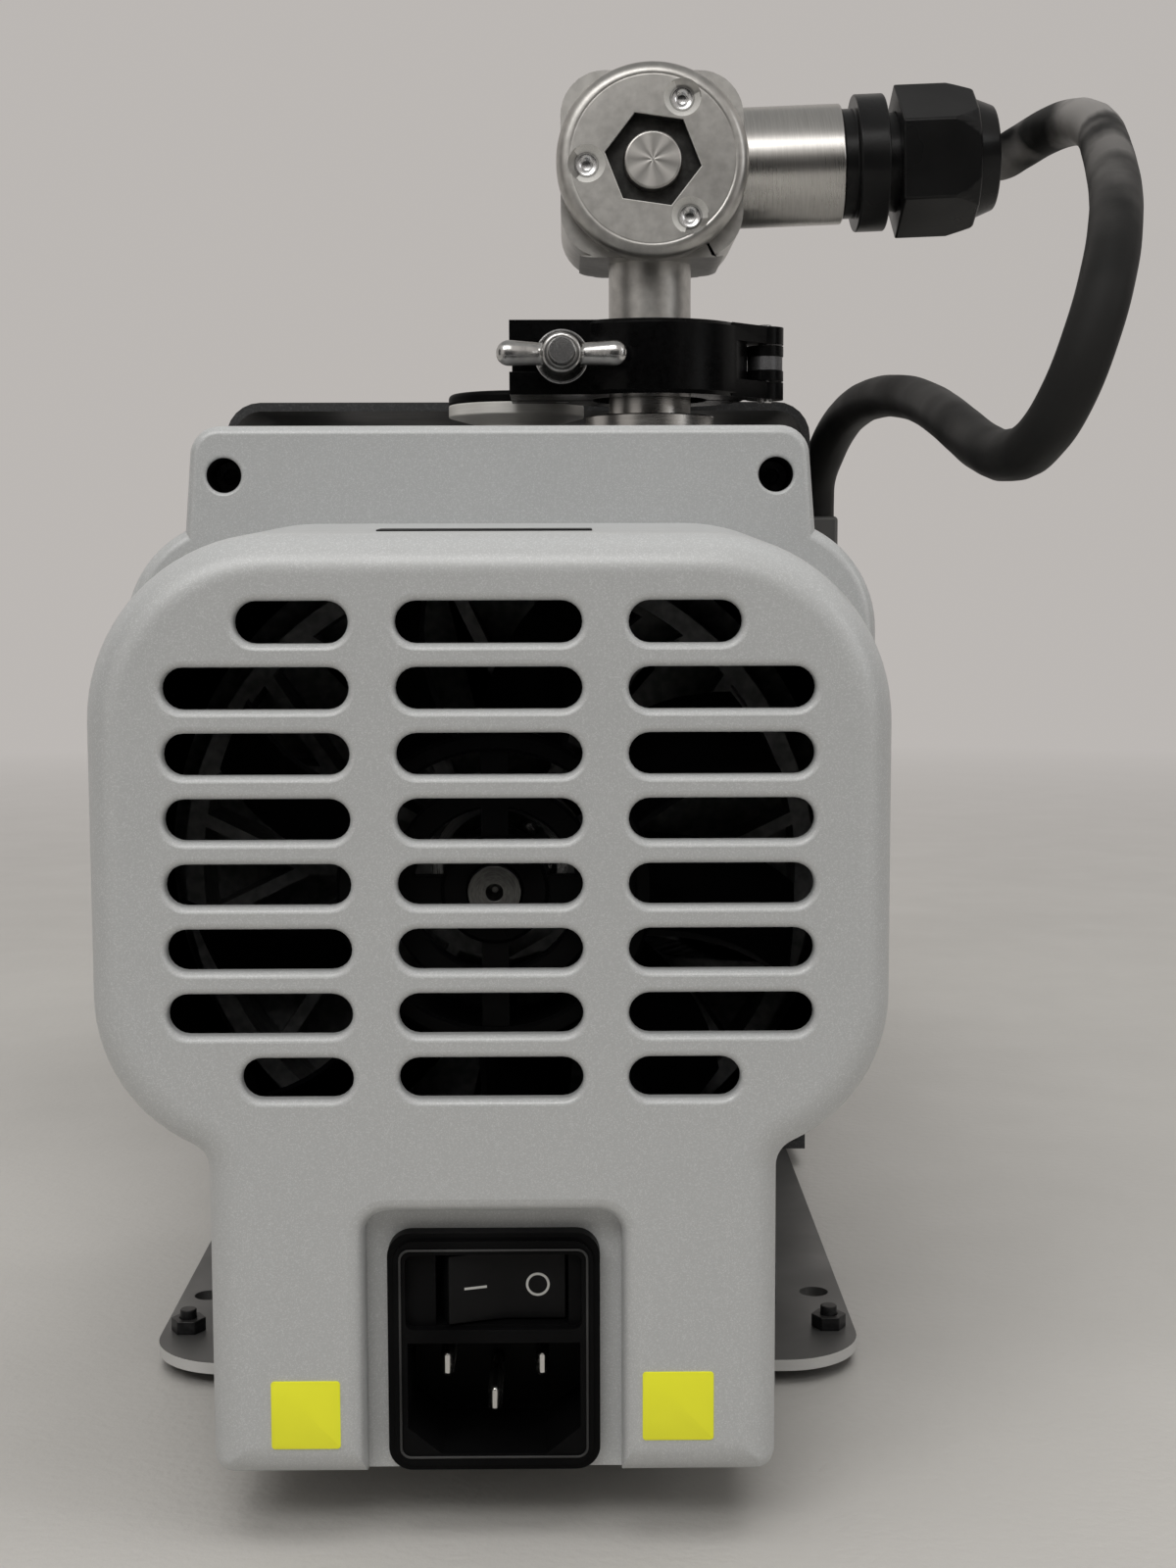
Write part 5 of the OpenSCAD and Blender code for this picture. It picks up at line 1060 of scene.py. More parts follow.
    def build(self, bench: Bench) -> None:
        """Sets up the camera, the floor, the dark cards, the sky and the lamps."""
        self.camera()
        self.ground(bench)
        self.flag("flag_front", (0.05, -1.2, 0.22), (1.3, 0.5), (80, 0, 0))
        self.flag("flag_low", (0.05, -0.95, 0.015), (1.5, 0.7), (0, 0, 0))
        self.flag("flag_left", (-0.85, -0.35, 0.3), (0.55, 0.6), (90, 0, 75))
        self.flag("flag_right", (0.95, -0.25, 0.3), (0.5, 0.6), (90, 0, -80))
        self.sky()
        top, front, right = (1.0, 0.985, 0.965), (1.0, 0.99, 0.975), (0.98, 0.99, 1.0)
        self.lamp("top_softbox", (0.1, -0.3, 1.5), (0.0, 0.0, 0.1), (1.4, 1.2), 12.0, top, False)
        self.lamp("front_softbox", (-0.35, -1.25, 1.15), (0.0, -0.1, 0.15), (1.3, 0.5), 8.0, front)
        self.lamp("right_strip", (1.3, -0.8, 0.7), (0.0, 0.0, 0.15), (0.3, 0.7), 1.6, right)


@dataclass
class CableRun:
    """The valve's grey rubber cable, from the gland round to the entry on the cover's side."""

    diameter: float = 9.2
    start: Point = (100.342, -37.4, 227.877)
    route: tuple[Point, ...] = (
        (102.34, -37.4, 227.958), (105.5, -39.5, 229.5), (110, -46, 232), (113, -56, 232), (114, -68, 229),
        (113, -80, 224.5), (111, -92, 219), (109, -104, 213.5), (107, -116, 207.5), (104, -128, 200.5),
        (101, -138, 192), (97, -143.5, 181), (93.5, -141, 169.5), (91, -131, 162.5), (89, -116, 161),
        (88, -98, 164), (87, -80, 169), (87, -62, 173), (86, -44, 177), (84.5, -26, 180), (81, -8, 181.3),
        (78.5, 7, 180.4), (75.8, 19, 177), (73.6, 28, 171), (72.3, 33.5, 164), (72.2, 35, 158.5),
        (72.2, 35, 155),
    )

    def build(self, bench: Bench) -> None:
        rough = [Vector(p) * MM for p in (self.start, *self.route)]
        near = zip(rough[2:-4], rough[3:-3], rough[4:-2], strict=True)
        even = [(a + 2.0 * p + b) / 4.0 for a, p, b in near]
        points = [*rough[:3], *even, *rough[-3:]]
        data = bpy.data.curves.new("valve_cable_run", "CURVE")
        data.dimensions = "3D"
        data.bevel_depth = self.diameter / 2 * MM
        data.bevel_resolution = 6
        data.resolution_u = 12
        data.use_fill_caps = True
        spline = data.splines.new("BEZIER")
        spline.bezier_points.add(len(points) - 1)
        for knot, p in zip(spline.bezier_points, points, strict=True):
            knot.co = p
            knot.handle_left_type = knot.handle_right_type = "AUTO"
        piece = shown("valve_cable_run", data)
        data.materials.append(CABLE_RUBBER.material())
        bench.place(piece, "pump", "cable_rubber", "valve_cable")
        length = sum((b - a).length for a, b in zip(points, points[1:]))
        tuple(points[0])


@dataclass
class FanCowl:
    """The pale grey moulded shell with its air slots, ledge, screw wells and pocket."""

    face_y: float = -196.0
    collar_y: float = -136.0
    end_y: float = -122.0
    wall: float = 2.5
    width: float = 115.0
    top: float = 147.5
    top_r: float = 27.0
    low_r: float = 24.0
    low_z: float = 81.0
    leg_w: float = 82.6
    leg_z: float = 10.0
    leg_r: float = 3.0
    waist_r: float = 4.0
    edge_r: float = 6.0
    draft: float = 2.5
    collar_w: float = 126.2
    collar_top: float = 151.0
    collar_r: float = 19.0
    ledge_top: float = 166.2
    ledge_w: float = 103.4
    ledge_flare: float = 2.3
    ledge_r: float = 5.0
    screw_x: float = 46.0
    screw_z: float = 158.0
    well_r: float = 2.9
    pocket_w: float = 37.4
    pocket_top: float = 50.0
    panel_y: float = -190.0
    lip: float = 1.1
    slot_rows: int = 8
    slot_pitch: float = 9.3
    slot_top_z: float = 134.9
    slot_h: float = 6.0
    slot_l: float = 26.4
    slot_short: float = 16.0
    slot_column: float = 32.9
    inlet_hole: tuple[float, float, float] = (27.0, 31.6, 28.4)
    housing_r: float = 55.0
    collar_edge: float = 2.2
    ledge_edge: float = 1.6
    collar_low_r: float = 30.0
    tray_r: float = 6.0
    below_floor: float = 20.0
    pocket_r: float = 3.5
    pocket_lip: float = 2.4
    well_wall: float = 2.1
    well_lip: float = 0.6
    pilot_r: float = 1.55
    sharp: float = 30.0
    plate_lie: float = -87.4

    def outline(
        self, w: float, top: float, r_top: float, r_low: float, low_z: float, leg: float, inset: float
    ) -> Outline:
        """Outline of the shell seen from the front, moved inwards by inset.

        Args:
            w: The width of the bulge.
            top: The height of its top.
            r_top: The radius of its upper corners.
            r_low: The radius where it turns in towards the legs.
            low_z: The height of that radius's centre.
            leg: The width across the legs.
            inset: How far the outline is moved in.

        Returns:
            The closed outline.
        """
        half = w / 2
        low_x = half - r_low
        waist_x = leg / 2 + self.waist_r
        reach = r_low + self.waist_r
        waist_z = low_z - math.sqrt(reach**2 - (waist_x - low_x) ** 2)
        bend = math.degrees(math.atan2(waist_z - low_z, waist_x - low_x))
        foot = max(self.leg_r - inset, 0.4)
        right = (
            arc(half - r_top, top - r_top, r_top - inset, 90, 0, 20)
            + arc(low_x, low_z, r_low - inset, 0, bend, 14)
            + arc(waist_x, waist_z, self.waist_r + inset, bend + 180, 180, 7, 1)
            + arc(leg / 2 - inset - foot, self.leg_z + inset + foot, foot, 0, -90, 6)
        )
        return mirrored(right)

    def bulge(self, inset: float) -> Outline:
        """Outline of the front bulge."""
        sizes = (self.width, self.top, self.top_r, self.low_r, self.low_z, self.leg_w)
        return self.outline(*sizes, inset)

    def collar(self, inset: float) -> Outline:
        """Outline of the collar behind the bulge."""
        lower = (self.collar_low_r, self.low_z + 3, self.leg_w + 5)
        return self.outline(self.collar_w, self.collar_top, self.collar_r, *lower, inset)

    def ledge(self, inset: float) -> Outline:
        """Outline of the raised ledge."""
        half = self.ledge_w / 2
        root = (half + self.ledge_flare - inset, self.collar_top - self.collar_r)
        corner = arc(half - self.ledge_r, self.ledge_top - self.ledge_r, self.ledge_r - inset, 90, 0, 8)
        return mirrored([*corner, root])

    def edge(self, y: float, r: float, skin: float, of: Shape, steps: int = 9) -> Rings:
        """Outlines of a rounded front edge.

        Args:
            y: Where the edge starts along Y.
            r: Its radius.
            skin: How far the wall behind it is inset.
            of: What gives the outline for an inset.
            steps: How many steps it has.

        Returns:
            The outlines with their places.
        """
        turns = [math.pi / 2 * i / steps for i in range(steps + 1)]
        return [(y + r * (1 - math.cos(t)), of(skin + r * (1 - math.sin(t)))) for t in turns]

    def slots(self, bench: Bench) -> list[Piece]:
        """Makes the cutters of the 24 air slots, laid out by a grid tree."""
        cutters = []
        grid = grid_recipe()
        rows, pitch = self.slot_rows, self.slot_pitch
        height = (rows - 1) * pitch
        middle = self.slot_top_z - height / 2
        short_x = self.slot_column - (self.slot_l - self.slot_short) / 2
        plan = (
            ("middle_slots", self.slot_l, 1, 0.0, rows, height),
            ("side_slots", self.slot_l, 2, 2 * self.slot_column, rows - 2, height - 2 * pitch),
            ("short_slots", self.slot_short, 2, 2 * short_x, 2, height),
        )
        for name, length, across, width, up, tall in plan:
            def slot(grow: float, length: float = length) -> Outline:
                return stadium(length + 2 * grow, self.slot_h + 2 * grow)

            bm = bench.flared(slot, self.face_y, self.face_y + self.wall + 1, self.lip)
            cutter = bench.new(name, bm)
            spread = {"Columns": across, "Width": width * MM, "Rows": up, "Height": tall * MM}
            grid.run(bench, cutter, {**spread, "Material": COWL_PAINT.material()})
            moved(cutter, 0, middle)
            cutters.append(cutter)
        return cutters

    def wells(self, r: float, steps: int = 40) -> list[Outline]:
        """Circles round the two screws."""
        return [shifted(circle(r, steps), s * self.screw_x, self.screw_z) for s in (-1, 1)]

    def tray(self, bench: Bench, height: float, middle: float) -> Piece:
        """Makes the walls round the pocket, cut off below the shell's foot."""
        walls = rounded_box(self.pocket_w + 2 * self.wall, height + 2 * self.wall, self.tray_r)
        tray = bench.bar("tray", shifted(walls, 0, middle), self.face_y + 2, self.panel_y + self.wall)
        below = bench.bar("below", rounded_box(120, 40, 1.0), self.face_y - 5, self.panel_y + 20)
        moved(below, 0, self.leg_z + 2 - self.below_floor)
        bench.combine(tray, [below], "DIFFERENCE")
        return tray

    def build(self, bench: Bench) -> None:
        """Makes the shell in the place of its solid, and what it carries."""
        new, prism, bar, edge = bench.new, bench.prism, bench.bar, self.edge
        face, back, end, wall = self.face_y, self.collar_y, self.end_y, self.wall
        rings = edge(face, self.edge_r, 0.0, self.bulge) + [(back + 1, self.bulge(-self.draft))]
        shell = new("fan_cowl_shell", prism(rings), COWL_PAINT)
        collar = edge(back, self.collar_edge, 0.0, self.collar, 4) + [(end, self.collar(0.0))]
        ledge = edge(back, self.ledge_edge, 0.0, self.ledge, 4) + [(end, self.ledge(0.0))]
        bench.combine(shell, [new("collar", prism(collar)), new("ledge", prism(ledge))], "UNION")
        hollow = edge(face + wall, self.edge_r - wall, wall, self.bulge, 5)
        inside = new("inside", prism(hollow + [(end + 1, self.bulge(wall - self.draft))]))
        behind = bar("behind", self.collar(wall), back + wall, end + 1)
        under = bar("under", self.ledge(wall), back + wall, end + 1)
        bench.combine(shell, [inside, behind, under], "DIFFERENCE")
        height = self.pocket_top - self.leg_z + self.below_floor
        middle = (self.pocket_top + self.leg_z - self.below_floor) / 2
        tray = self.tray(bench, height, middle)
        tubes = [bar("well", o, back + 1, end) for o in self.wells(self.well_r + self.well_wall)]
        bench.combine(shell, [tray, *tubes], "UNION")

        def pocket(grow: float) -> Outline:
            return shifted(rounded_box(self.pocket_w, height, self.pocket_r, 8, grow), 0, middle)

        w, h, z = self.inlet_hole
        cutters = [new("pocket", bench.flared(pocket, face, self.panel_y, self.pocket_lip))]
        opening = shifted(rounded_box(w, h, 0.5), 0, z)
        cutters.append(bar("hole", opening, self.panel_y - 1, self.panel_y + 8))
        for k, pilot in enumerate(self.wells(self.pilot_r, 24)):
            def bore(grow: float, k: int = k) -> Outline:
                return self.wells(self.well_r + grow)[k]

            cutters.append(new("bore", bench.flared(bore, back, end - 2, self.well_lip)))
            cutters.append(bar("pin", pilot, end - 3, end + 1))
        bench.combine(shell, cutters + self.slots(bench), "DIFFERENCE")
        bench.shade(shell, self.sharp)
        # Faces inside the shell and down the screw wells take black as painted shade.
        bench.paint(shell, COWL_PAINT, SHADE_BLACK, pick=lambda f: int(self.inner(f.center / MM, f.normal)))
        bench.keep_flat(shell)
        bench.place(shell, "pump", "cowl_paint", "fan_cowl")
        self.dress(bench)

    def inner(self, centre: Vector, normal: Vector) -> bool:
        """Whether a face looks into the shell or down a screw well, where it takes the black of painted
        shade.
        """
        x, y, z = centre
        if not self.face_y + self.wall - 0.15 < y < self.end_y - 0.1:
            return False
        if abs(x) < self.pocket_w / 2 + 0.3 and z < self.pocket_top + 0.3 and y < self.panel_y + 0.2:
            return False
        if math.hypot(abs(x) - self.screw_x, z - self.screw_z) < self.well_r + 1.0:
            return y > self.collar_y + 0.55
        rise = z - AXIS[2]
        away = (normal.x * x + normal.z * rise) / max(math.hypot(x, rise), 1.0)
        return normal.y > 0.5 or away < -0.1

    def plate(
        self, bench: Bench, name: str, centre: Point, size: tuple[float, float], finish: Finish, lies: bool
    ) -> None:
        """Sticks a thin blank plate on the shell.

        Args:
            bench: Where pieces are made.
            name: The piece's name.
            centre: The middle of its back.
            size: Its width and height.
            finish: Its finish.
            lies: Whether it lies flat instead of standing.
        """
        w, h = size
        full = rounded_box(w, h, 0.5)
        bm = bench.prism([(-0.2, rounded_box(w - 0.15, h - 0.15, 0.5)), (-0.16, full), (0.0, full)])
        turned(bm, self.plate_lie if lies else 0.0, "X", centre)
        bench.place(bench.new(name, bm, finish), "pump", "cowl_paint")

    def baffle(self, bench: Bench) -> None:
        """Closes the gap from the collar to the round housing with a black sheet of painted shade, so that
        no light shows in the slots.
        """
        sheet = bench.bar("cowl_baffle", self.collar(self.wall + 0.05), self.end_y - 1.6, self.end_y - 0.8)
        hole = shifted(circle(self.housing_r, 96), 0, AXIS[2])
        bench.combine(sheet, [bench.bar("hole", hole, self.end_y - 4, self.end_y + 4)], "DIFFERENCE")
        # The sheet is black as painted shade.
        bench.paint(sheet, SHADE_BLACK)
        bench.place(sheet, "pump", "cowl_paint")

    def dress(self, bench: Bench) -> None:
        """Adds the blank yellow squares, the blank top plate, the black sheet of painted shade behind the
        slots, and the screws.
        """
        front = self.face_y
        for name, centre, size, finish, lies in (
            ("blank_square_left", (-27.2, front, 20.35), (10.0, 10.1), STICKER_YELLOW, False),
            ("blank_square_right", (26.75, front, 21.4), (10.3, 10.2), STICKER_YELLOW, False),
            ("blank_top_plate", (-0.9, -180.5, self.top + 0.44), (31.3, 8.0), BLACK_PLASTIC, True),
        ):
            self.plate(bench, name, centre, size, finish, lies)
        self.baffle(bench)
        bench.copy_of("cowl_screws", "cowl_screw_pair", BLACK_STEEL, 0.15)


@dataclass
class PowerInlet:
    """The black mains module with its pins, its rocker and the rocker's marks."""

    panel_y: float = -190.0
    rim: float = 3.5
    centre_z: float = 28.4
    rocker: Point = (1.2, -186.5, 37.6)
    rocker_w: float = 18.4
    rocker_h: float = 3.4
    crest: float = 0.6
    tilt: float = 9.0
    mark_depth: float = 0.06
    line_h: float = 0.35

    def mark(self, bench: Bench, name: str, outlines: Sequence[Outline], right: bool) -> None:
        """Puts a white mark on one face of the rocker.

        Args:
            bench: Where pieces are made.
            name: The piece's name.
            outlines: The mark's outline, and that of its hole if it has one.
            right: Whether it is on the right face.
        """
        bm = bmesh.new()
        back, front = (
            [[bm.verts.new((x, depth, z)) for x, z in o] for o in outlines]
            for depth in (-self.mark_depth, 0.0)
        )
        for a, b in zip(back, front, strict=True):
            stitch(bm, a, b)
        for level in (back, front):
            if len(outlines) == 1:
                bm.faces.new(level[0])
            else:
                stitch(bm, *level)
        bmesh.ops.recalc_face_normals(bm, faces=bm.faces)
        half = self.rocker_w / 2
        rise = half * math.tan(math.radians(self.tilt))
        slope = math.atan2(rise, half - self.crest) * (-1 if right else 1)
        middle = half * 0.5 * (1 if right else -1)
        depth = -self.rocker_h - rise * 0.5 * half / (half - self.crest)
        face = Matrix.Translation((middle, depth, 0)) @ Matrix.Rotation(slope, 4, "Z")
        whole = Matrix.Translation(self.rocker) @ Matrix.Rotation(math.radians(self.tilt), 4, "Z") @ face
        bmesh.ops.transform(bm, matrix=whole, verts=bm.verts)
        bench.place(bench.new(name, bm, MARK_WHITE), "switch_rocker", "rocker_plastic")

    def build(self, bench: Bench) -> None:
        """Makes the module, its pins, its rocker, the marks and the raised line round its front, coloured
        lighter as a painted highlight.
        """
        bench.copies(
            ("power_inlet", "power_inlet_frame", BLACK_PLASTIC, 0.35, 3),
            ("inlet_pins", "inlet_pin_set", PIN_METAL, 0.68, 1),
            ("rocker", "rocker_cap", ROCKER_PLASTIC, 1.2, 5),
        )
        self.mark(bench, "mark_off", [circle(1.75, 36), circle(1.4, 36)], True)
        self.mark(bench, "mark_on", [[(-1.7, -0.17), (1.7, -0.17), (1.7, 0.17), (-1.7, 0.17)]], False)
        front = self.panel_y - self.rim
        raised = front - self.line_h
        outer, inner = rounded_box(27.6, 31.4, 1.6), rounded_box(26.9, 30.7, 1.3)
        bm = bmesh.new()
        rows = [
            [bm.verts.new((x, y, z + self.centre_z)) for x, z in outline]
            for y, outline in ((front, outer), (raised, outer), (raised, inner), (front, inner))
        ]
        for a, b in zip(rows, rows[1:] + rows[:1]):
            stitch(bm, a, b)
        bmesh.ops.recalc_face_normals(bm, faces=bm.faces)
        # The raised line is coloured lighter as a painted highlight.
        line = bench.new("inlet_frame_line", bm, EDGE_HIGHLIGHT)
        bench.place(bench.soften(line, 0.12), "pump", "black_plastic")


@dataclass
class CoolingFan:
    """The black fan on the crankshaft's front end, its blades laid round it by a tree."""

    front_y: float = -176.0
    depth: float = 16.0
    blades: int = 9
    blade_steps: int = 8
    ring_r: float = 24.0
    tip_r: float = 46.8
    lean: float = 7.0
    thick: float = 1.5
    camber: float = 2.4
    sweep: float = -10.0
    web: tuple[float, float] = (17.0, 4.1)
    web_x: float = 14.6
    sharp: float = 34.0

    def blade(self, bench: Bench) -> Mesh:
        """Skins one swept, cambered blade, whose section thins towards its tip."""
        rings = []
        steps = self.blade_steps
        for k in range(steps + 1):
            t = k / steps
            r = self.ring_r - 0.8 + (self.tip_r - self.ring_r + 0.8) * t
            sweep = math.radians(self.sweep * t * t)
            side_a, side_b = [], []
            for i in range(steps + 1):
                u = i / steps
                y = self.front_y + (0.6 + (self.depth - 1.2) * u)
                bulge = math.sin(math.pi * u)
                lead = (self.lean - 0.4) * (2 * u - 1) - self.camber * bulge
                half = self.thick * (0.32 + 0.25 * bulge) * (1 - 0.35 * t)
                a = sweep + math.asin(max(min(lead / r, 1), -1))
                c, s = math.cos(a), math.sin(a)
                side_a.append((r * c - half * s, y, r * s + half * c))
                side_b.append((r * c + half * s, y, r * s - half * c))
            rings.append(side_a + side_b[::-1])
        return bench.loft(rings)

    def build(self, bench: Bench) -> None:
        """Makes the wheel and its blades as one piece."""
        wheel = bench.new("fan_wheel", self.blade(bench), GLOSS_PLASTIC)
        lay_round(bench, wheel, self.blades, GLOSS_PLASTIC)
        moved(wheel, 0, AXIS[2])
        y0, end, r = self.front_y, self.front_y + self.depth, self.ring_r
        ring = [(r - 2.9, end), (r - 2.9, y0 + 0.5), (r - 2.4, y0), (r - 0.6, y0), (r, y0 + 0.7), (r, end)]
        inner = [(12.4, 4), (12.4, 1.4), (12.8, 1), (15.9, 1), (16.3, 1.4), (16.3, 4)]
        hub = [(4.03, 14), (4.03, 0.4), (4.4, 0), (7.6, 0), (8.2, 0.6), (8.2, 14)]
        profiles = [ring, *([(px, y0 + py) for px, py in p] for p in (inner, hub))]
        parts = [bench.new("fan_part", bench.lathe(p, AXIS, (0, 1, 0), 96)) for p in profiles]
        web = shifted(rounded_box(*self.web, 0.5, 3), self.web_x, 0)
        for k in range(4):
            bm = bench.prism([(y0 + 1.0, web), (y0 + 4.0, web)])
            turned(bm, 90.0 * k, "Y", AXIS)
            parts.append(bench.new("fan_part", bm))
        core = parts.pop()
        bench.combine(core, parts, "UNION")
        bench.combine(wheel, [core], "UNION")
        bench.paint(wheel, GLOSS_PLASTIC)
        bench.shade(wheel, self.sharp)
        bench.place(wheel, "crank", "fan_plastic", "cooling_fan")


class PumpStage:
    """The scroll housing, the frame casting and what turns inside them."""

    def build(self, bench: Bench) -> None:
        """Softens what shows of the housing, and finishes the rest where it stands."""
        bench.copies(
            ("fixed_scroll", "scroll_housing", CAST_GREY, 0.4),
            ("frame_casting", "frame_housing", CAST_GREY, 0.5),
            ("crankshaft", "crankshaft_bar", SHAFT_END.at(Lay.ROUND_Y, AXIS, "shaft"), 0.25),
            ("housing_bolts", "housing_bolt_set", BLACK_STEEL, 0.3),
            ("frame_bolts", "frame_bolt_set", BLACK_STEEL, 0.3),
        )


class BaseSet:
    """The base plate with its feet, studs and nuts."""

    def build(self, bench: Bench) -> None:
        """Makes the plate, whose front edges get a pale finish, and what stands on its corners."""
        sheet = bench.copy_of("base_plate", "base_sheet", GREY_SHEET, 0.45, 3)
        front = -100.0 * MM
        # Side faces near the front take the pale finish.
        bench.paint(
            sheet, GREY_SHEET, PALE_EDGE, pick=lambda f: int(abs(f.normal.z) < 0.5 and f.center.y < front)
        )
        bench.copies(
            ("rubber_feet", "foot_set", BLACK_RUBBER, 0.5, 3),
            ("foot_nuts", "foot_nut_set", BLACK_STEEL, 0.3),
            ("foot_studs", "foot_stud_set", BLACK_STEEL, 0.2),
        )


class RearCover:
    """The dark sheet cover, its screws and its grille."""

    def build(self, bench: Bench) -> None:
        """Makes the cover, the grille and the screws."""
        bench.copies(
            ("rear_cover", "cover_sheet", COVER_PAINT, 0.5, 3),
            ("rear_grille", "grille_sheet", COVER_PAINT, 0.25),
            ("cover_screws", "cover_screw_set", BLACK_STEEL, 0.3),
        )


@dataclass
class PortStack:
    """The inlet and exhaust ports and the clamp on the inlet."""

    inlet: Point = (28.7, -37.4, 185.4)
    exhaust: Point = (0, -13, 0)
    hinge_x: float = 24.3
    sleeve: tuple[tuple[float, float], ...] = (
        (1.3, -1.6), (3.5, -1.6), (3.7, -1.4), (3.7, 1.4), (3.5, 1.6), (1.3, 1.6),
    )

    def build(self, bench: Bench) -> None:
        """Makes the ports, the clamp and its wing nut."""
        x, y, z = self.inlet
        steel = STAINLESS.at(Lay.ROUND_Z, (x, y, 0), "inlet")
        bench.copies(
            ("inlet_port", "inlet_tube", steel, 0.25),
            # The exhaust tube's lighter, less metallic steel is painted light where it lies in shade.
            ("exhaust_port", "exhaust_tube", PAINTED_LIGHT_STEEL.at(Lay.ROUND_Z, self.exhaust, "exhaust"), 0.25),
            ("exhaust_cap", "exhaust_cover", BLACK_PLASTIC, 0.4, 3),
            ("centring_ring", "centring_insert", steel, 0.0),
            ("clamp_front_jaw", "clamp_jaw_front", BLACK_COAT, 0.5, 3),
            ("clamp_rear_jaw", "clamp_jaw_rear", BLACK_COAT, 0.5, 3),
            ("clamp_hinge_pin", "clamp_hinge_bar", GROUND_STEEL, 0.2),
        )
        bm = bench.lathe(list(self.sleeve), (x + self.hinge_x, y, z), (0, 0, 1), 40)
        bench.place(bench.new("clamp_hinge_sleeve", bm, DARK_STEEL), "pump", "ground_steel")
        bench.copies(
            ("clamp_bolt", "clamp_swing_bolt", GROUND_STEEL, 0.15),
            ("clamp_washer", "clamp_washer_disc", GROUND_STEEL, 0.2),
        )
        self.wing_nut(bench)

    def wing_nut(self, bench: Bench) -> None:
        """Makes the cast wing nut, its wings grown smoothly out of the hub."""
        piece = bench.copy_of("wing_nut", "wing_nut_cast", CAST_NUT, 0.0)
        fine = piece.modifiers.new("fine", "REMESH")
        fine.mode = "VOXEL"
        fine.voxel_size = 0.28 * MM
        calm = piece.modifiers.new("calm", "SMOOTH")
        calm.factor = 0.5
        calm.iterations = 5
        bench.settle(piece)
        piece.data.shade_smooth()


@dataclass
class InletValve:
    """The stainless valve with its front disc, its screws, its post and its side arm."""

    centre: Point = (28.7, -37.4, 224.4)
    disc_r: float = 19.5
    disc_front: float = -56.0
    disc_back: float = -50.0
    rim_r: float = 2.5
    spring_front: float = -40.5
    spring_length: float = 12.0
    plunger_travel: float = 3.0
    hex_af: float = 17.0
    hex_depth: float = 4.0
    hex_turn: float = 8.0
    post_r: float = 5.9
    screw_ring: float = 13.4
    screw_angle: float = 64.0
    screw_r: float = 2.5
    body_half: float = 18.6
    body_r: float = 9.0
    body_end: float = -19.0
    neck_r: float = 20.0
    neck_low: float = 150.0
    sharp: float = 28.0
    arm_z: float = 225.0
    entry: tuple[float, float] = (72.1, 138.2)
    entry_size: tuple[float, float] = (9.2, 34.0)
    entry_span: tuple[float, float] = (26.0, 44.0)

    def hexagon(self, grow: float) -> Outline:
        """Outline of the hexagonal recess, moved out by grow."""
        x, _, z = self.centre
        r = (self.hex_af / 2 + grow) / math.cos(math.pi / 6)
        turns = [math.radians(60 * k - self.hex_turn) for k in range(6)]
        return [(x + r * math.cos(a), z + r * math.sin(a)) for a in turns]

    def disc(self, bench: Bench) -> None:
        """Makes the front disc with its rim, its fine groove, its hexagonal recess and its dished holes."""
        x, _, z = self.centre
        f, b, r = self.disc_front, self.disc_back, self.disc_r
        hole = self.post_r + 0.08
        rim = arc(r - self.rim_r, f + self.rim_r, self.rim_r, -90, 0, 8)
        groove = [(r - 3.1, f + 0.1), (r - 2.85, f + 0.14), (r - 2.6, f + 0.02)]
        profile = [(hole, f + 0.1), *groove, *rim, (r, b), (hole, b)]
        disc = bench.new("valve_front_disc", bench.lathe(profile, (x, 0, z), (0, 1, 0), 144))
        cutters = [bench.new("recess", bench.flared(self.hexagon, f, f + self.hex_depth, 0.5))]
        lip = [(0.0, f - 0.5), (4.0, f - 0.5), (3.75, f + 0.1), (3.55, f + 0.3)]
        dish = [*lip, (self.screw_r, f + 1.55), (self.screw_r, f + 3.0), (0.0, f + 5.0)]
        for k in range(3):
            a = math.radians(self.screw_angle + 120 * k)
            middle = (x + self.screw_ring * math.cos(a), 0, z + self.screw_ring * math.sin(a))
            cutters.append(bench.new("dish", bench.lathe(dish, middle, (0, 1, 0), 40, closed=False)))
        bench.combine(disc, cutters, "DIFFERENCE")
        bench.shade(disc, self.sharp)

        def look(face: bpy.types.MeshPolygon) -> int:
            px, y, pz = face.center / MM
            away = math.hypot(px - x, pz - z)
            # Lips of the recess and the dished holes take lighter steel as a painted highlight.
            rounded = f + 0.02 < y < f + 1.5 and face.normal.y > -0.98 and away < r - 4.0
            # Deep in the hexagonal recess the steel is near black as painted shade.
            deep = away < self.hex_af / 2 + 1.5 and y > f + 0.6
            return 1 if deep else 2 if rounded else 0

        bench.paint(disc, SATIN_STEEL, RECESS_SHADE, PAINTED_LIGHT_STEEL, pick=look)
        bench.keep_flat(disc)
        bench.place(disc, "pump", "polished_stainless", "valve_disc")

    def spring(self, bench: Bench) -> None:
        """Makes the coil spring as a copy of its solid."""
        coil = bench.copy_of("valve_spring", "valve_coil_spring", GROUND_STEEL, 0.0)
        x, _, z = self.centre
        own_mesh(coil)

    def screws(self, bench: Bench) -> None:
        """Makes the three screws, whose dished heads a tree lays round the disc."""
        x, _, z = self.centre
        f, r = self.disc_front + 1.3, self.screw_r - 0.06
        profile = [
            (0.0, f + 1.7), (0.95, f + 1.5), (1.1, f + 0.4), (1.5, f + 0.12), (2.1, f),
            (r, f + 0.25), (r, f + 1.1), (1.5, f + 1.6), (1.5, f + 8.0), (0.0, f + 8.0),
        ]
        a = math.radians(self.screw_angle)
        place = (self.screw_ring * math.cos(a), 0, self.screw_ring * math.sin(a))
        bm = bench.lathe(profile, place, (0, 1, 0), 40, closed=False)
        screw = bench.new("disc_screw_set", bm, GROUND_STEEL)
        lay_round(bench, screw, 3, GROUND_STEEL)
        moved(screw, x, z)
        bench.place(screw, "pump", "ground_steel", "disc_screws")

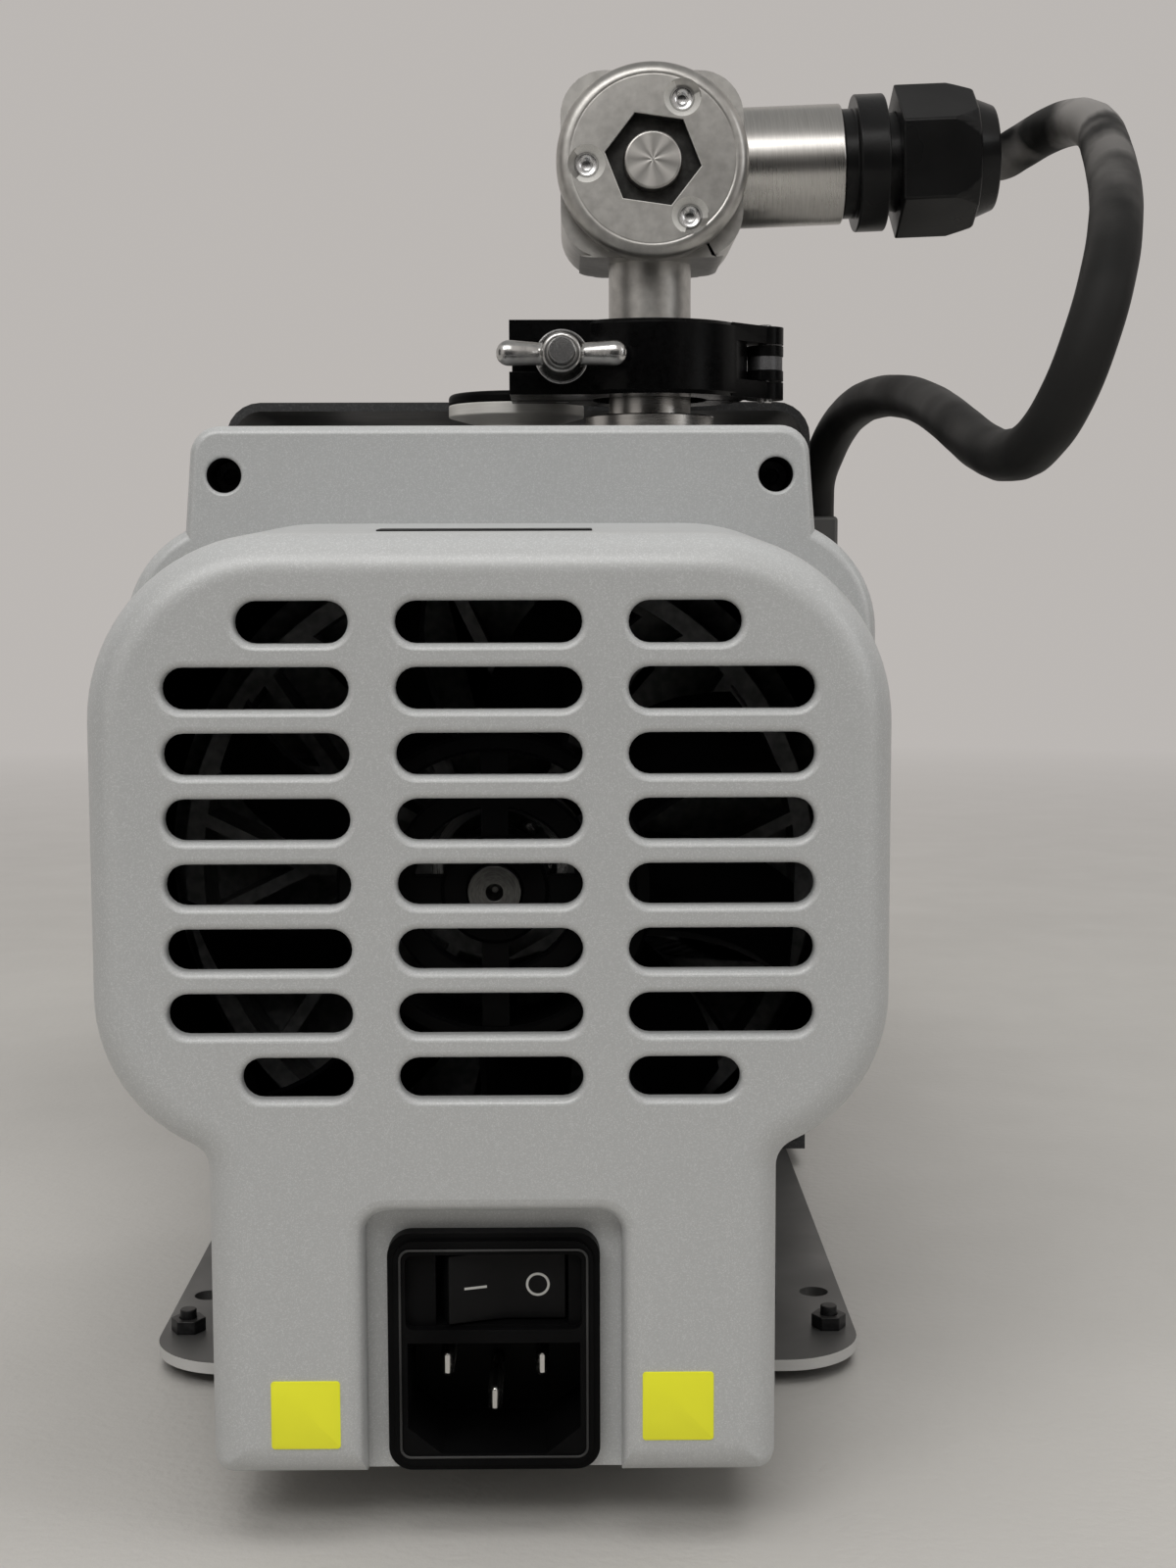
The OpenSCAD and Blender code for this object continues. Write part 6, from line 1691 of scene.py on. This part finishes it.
    def body(self, bench: Bench) -> None:
        """Makes the cast block with its well rounded corners, its neck and its rear flange."""
        x, y, z = self.centre
        side, front, end = 2 * self.body_half, self.disc_back - 2, self.body_end + 2
        copy = bench.copy_of("valve_body", "valve_block", SATIN_STEEL, 0.0)
        frame = bench.bar("frame", shifted(rounded_box(90, 90, 1.0, 10), x, z), front, end)
        outline = shifted(rounded_box(side, side, self.body_r, 10), x, z)
        core = bench.bar("core", outline, front - 1, end + 1)
        bench.combine(frame, [core], "DIFFERENCE")
        low, high = self.neck_low, z - self.body_half + 0.4
        profile = [(0, low), (self.neck_r, low), (self.neck_r, high), (0, high)]
        neck = bench.new("keep", bench.lathe(profile, (x, y, 0), (0, 0, 1), 48, closed=False))
        bench.combine(frame, [neck], "DIFFERENCE")
        bench.combine(copy, [frame], "DIFFERENCE")
        bench.paint(copy, SATIN_STEEL)
        bench.shade(copy)
        bench.soften(copy, 1.8, 5)

    def build(self, bench: Bench) -> None:
        """Makes the body, disc, screws, post, arm, gland, spring, and the cable's entry on the cover."""
        x, y, z = self.centre
        self.body(bench)
        self.disc(bench)
        self.screws(bench)
        bench.copies(
            ("centre_post", "valve_post", POST_RAYS_AND_SHEEN.at(Lay.ROUND_Y, (x, 0, z), "post"), 0.6, 4),
            ("side_arm", "valve_side_arm", STAINLESS.at(Lay.ROUND_X, (0, y, self.arm_z), "arm"), 0.3),
            ("cable_gland", "gland_body", GLAND_PLASTIC, 0.35, 3),
            ("gland_nut", "gland_hex_nut", GLAND_PLASTIC, 0.6, 3),
        )
        self.spring(bench)
        bench.copy_of("gland_seal", "gland_rubber", BLACK_RUBBER, 0.2)
        block = shifted(rounded_box(*self.entry_size, 1.0), *self.entry)
        entry = bench.bar("cable_entry_block", block, *self.entry_span, GREY_SHEET)
        bench.place(bench.soften(entry, 0.8, 3), "pump", bench.slot_of("cable_entry"), "cable_entry")


def finish_rest(bench: Bench) -> None:
    """Gives every node of the solids that is still shown the finish of its slot.

    Args:
        bench: Where the frame is kept.
    """
    round_parts = {"rotor", "main_bearings", "crank_bearing", "counterweight"}
    for name, node in bench.frame["nodes"].items():
        finish = SLOT_FINISHES[bench.slot_of(name)]
        if name in round_parts:
            finish = finish.at(Lay.ROUND_Y, AXIS, "axis")
        if name == "stator_core":
            finish = LAMINATED
        materials = node.data.materials
        if not len(materials):
            materials.append(None)
        for k in range(len(materials)):
            materials[k] = finish.material()


def corners() -> list[list[float]]:
    """The shown object's box, as plain lists."""
    return [list(c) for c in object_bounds()]


def main() -> None:
    """Builds every sub-assembly in order."""
    logging.basicConfig(level=logging.INFO, format="%(name)s: %(message)s")
    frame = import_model()
    bench = Bench(frame)
    Studio().build(bench)
    CableRun().build(bench)
    finish_rest(bench)
    for kind in (FanCowl, PowerInlet, CoolingFan, PumpStage, BaseSet, RearCover, PortStack, InletValve):
        kind().build(bench)
        LOG.info("%s done", kind.__name__)
    bpy.context.scene.view_settings.view_transform = "Standard"
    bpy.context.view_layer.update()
    LOG.info("%d pieces made", bench.count)


if __name__ == "__main__":
    main()
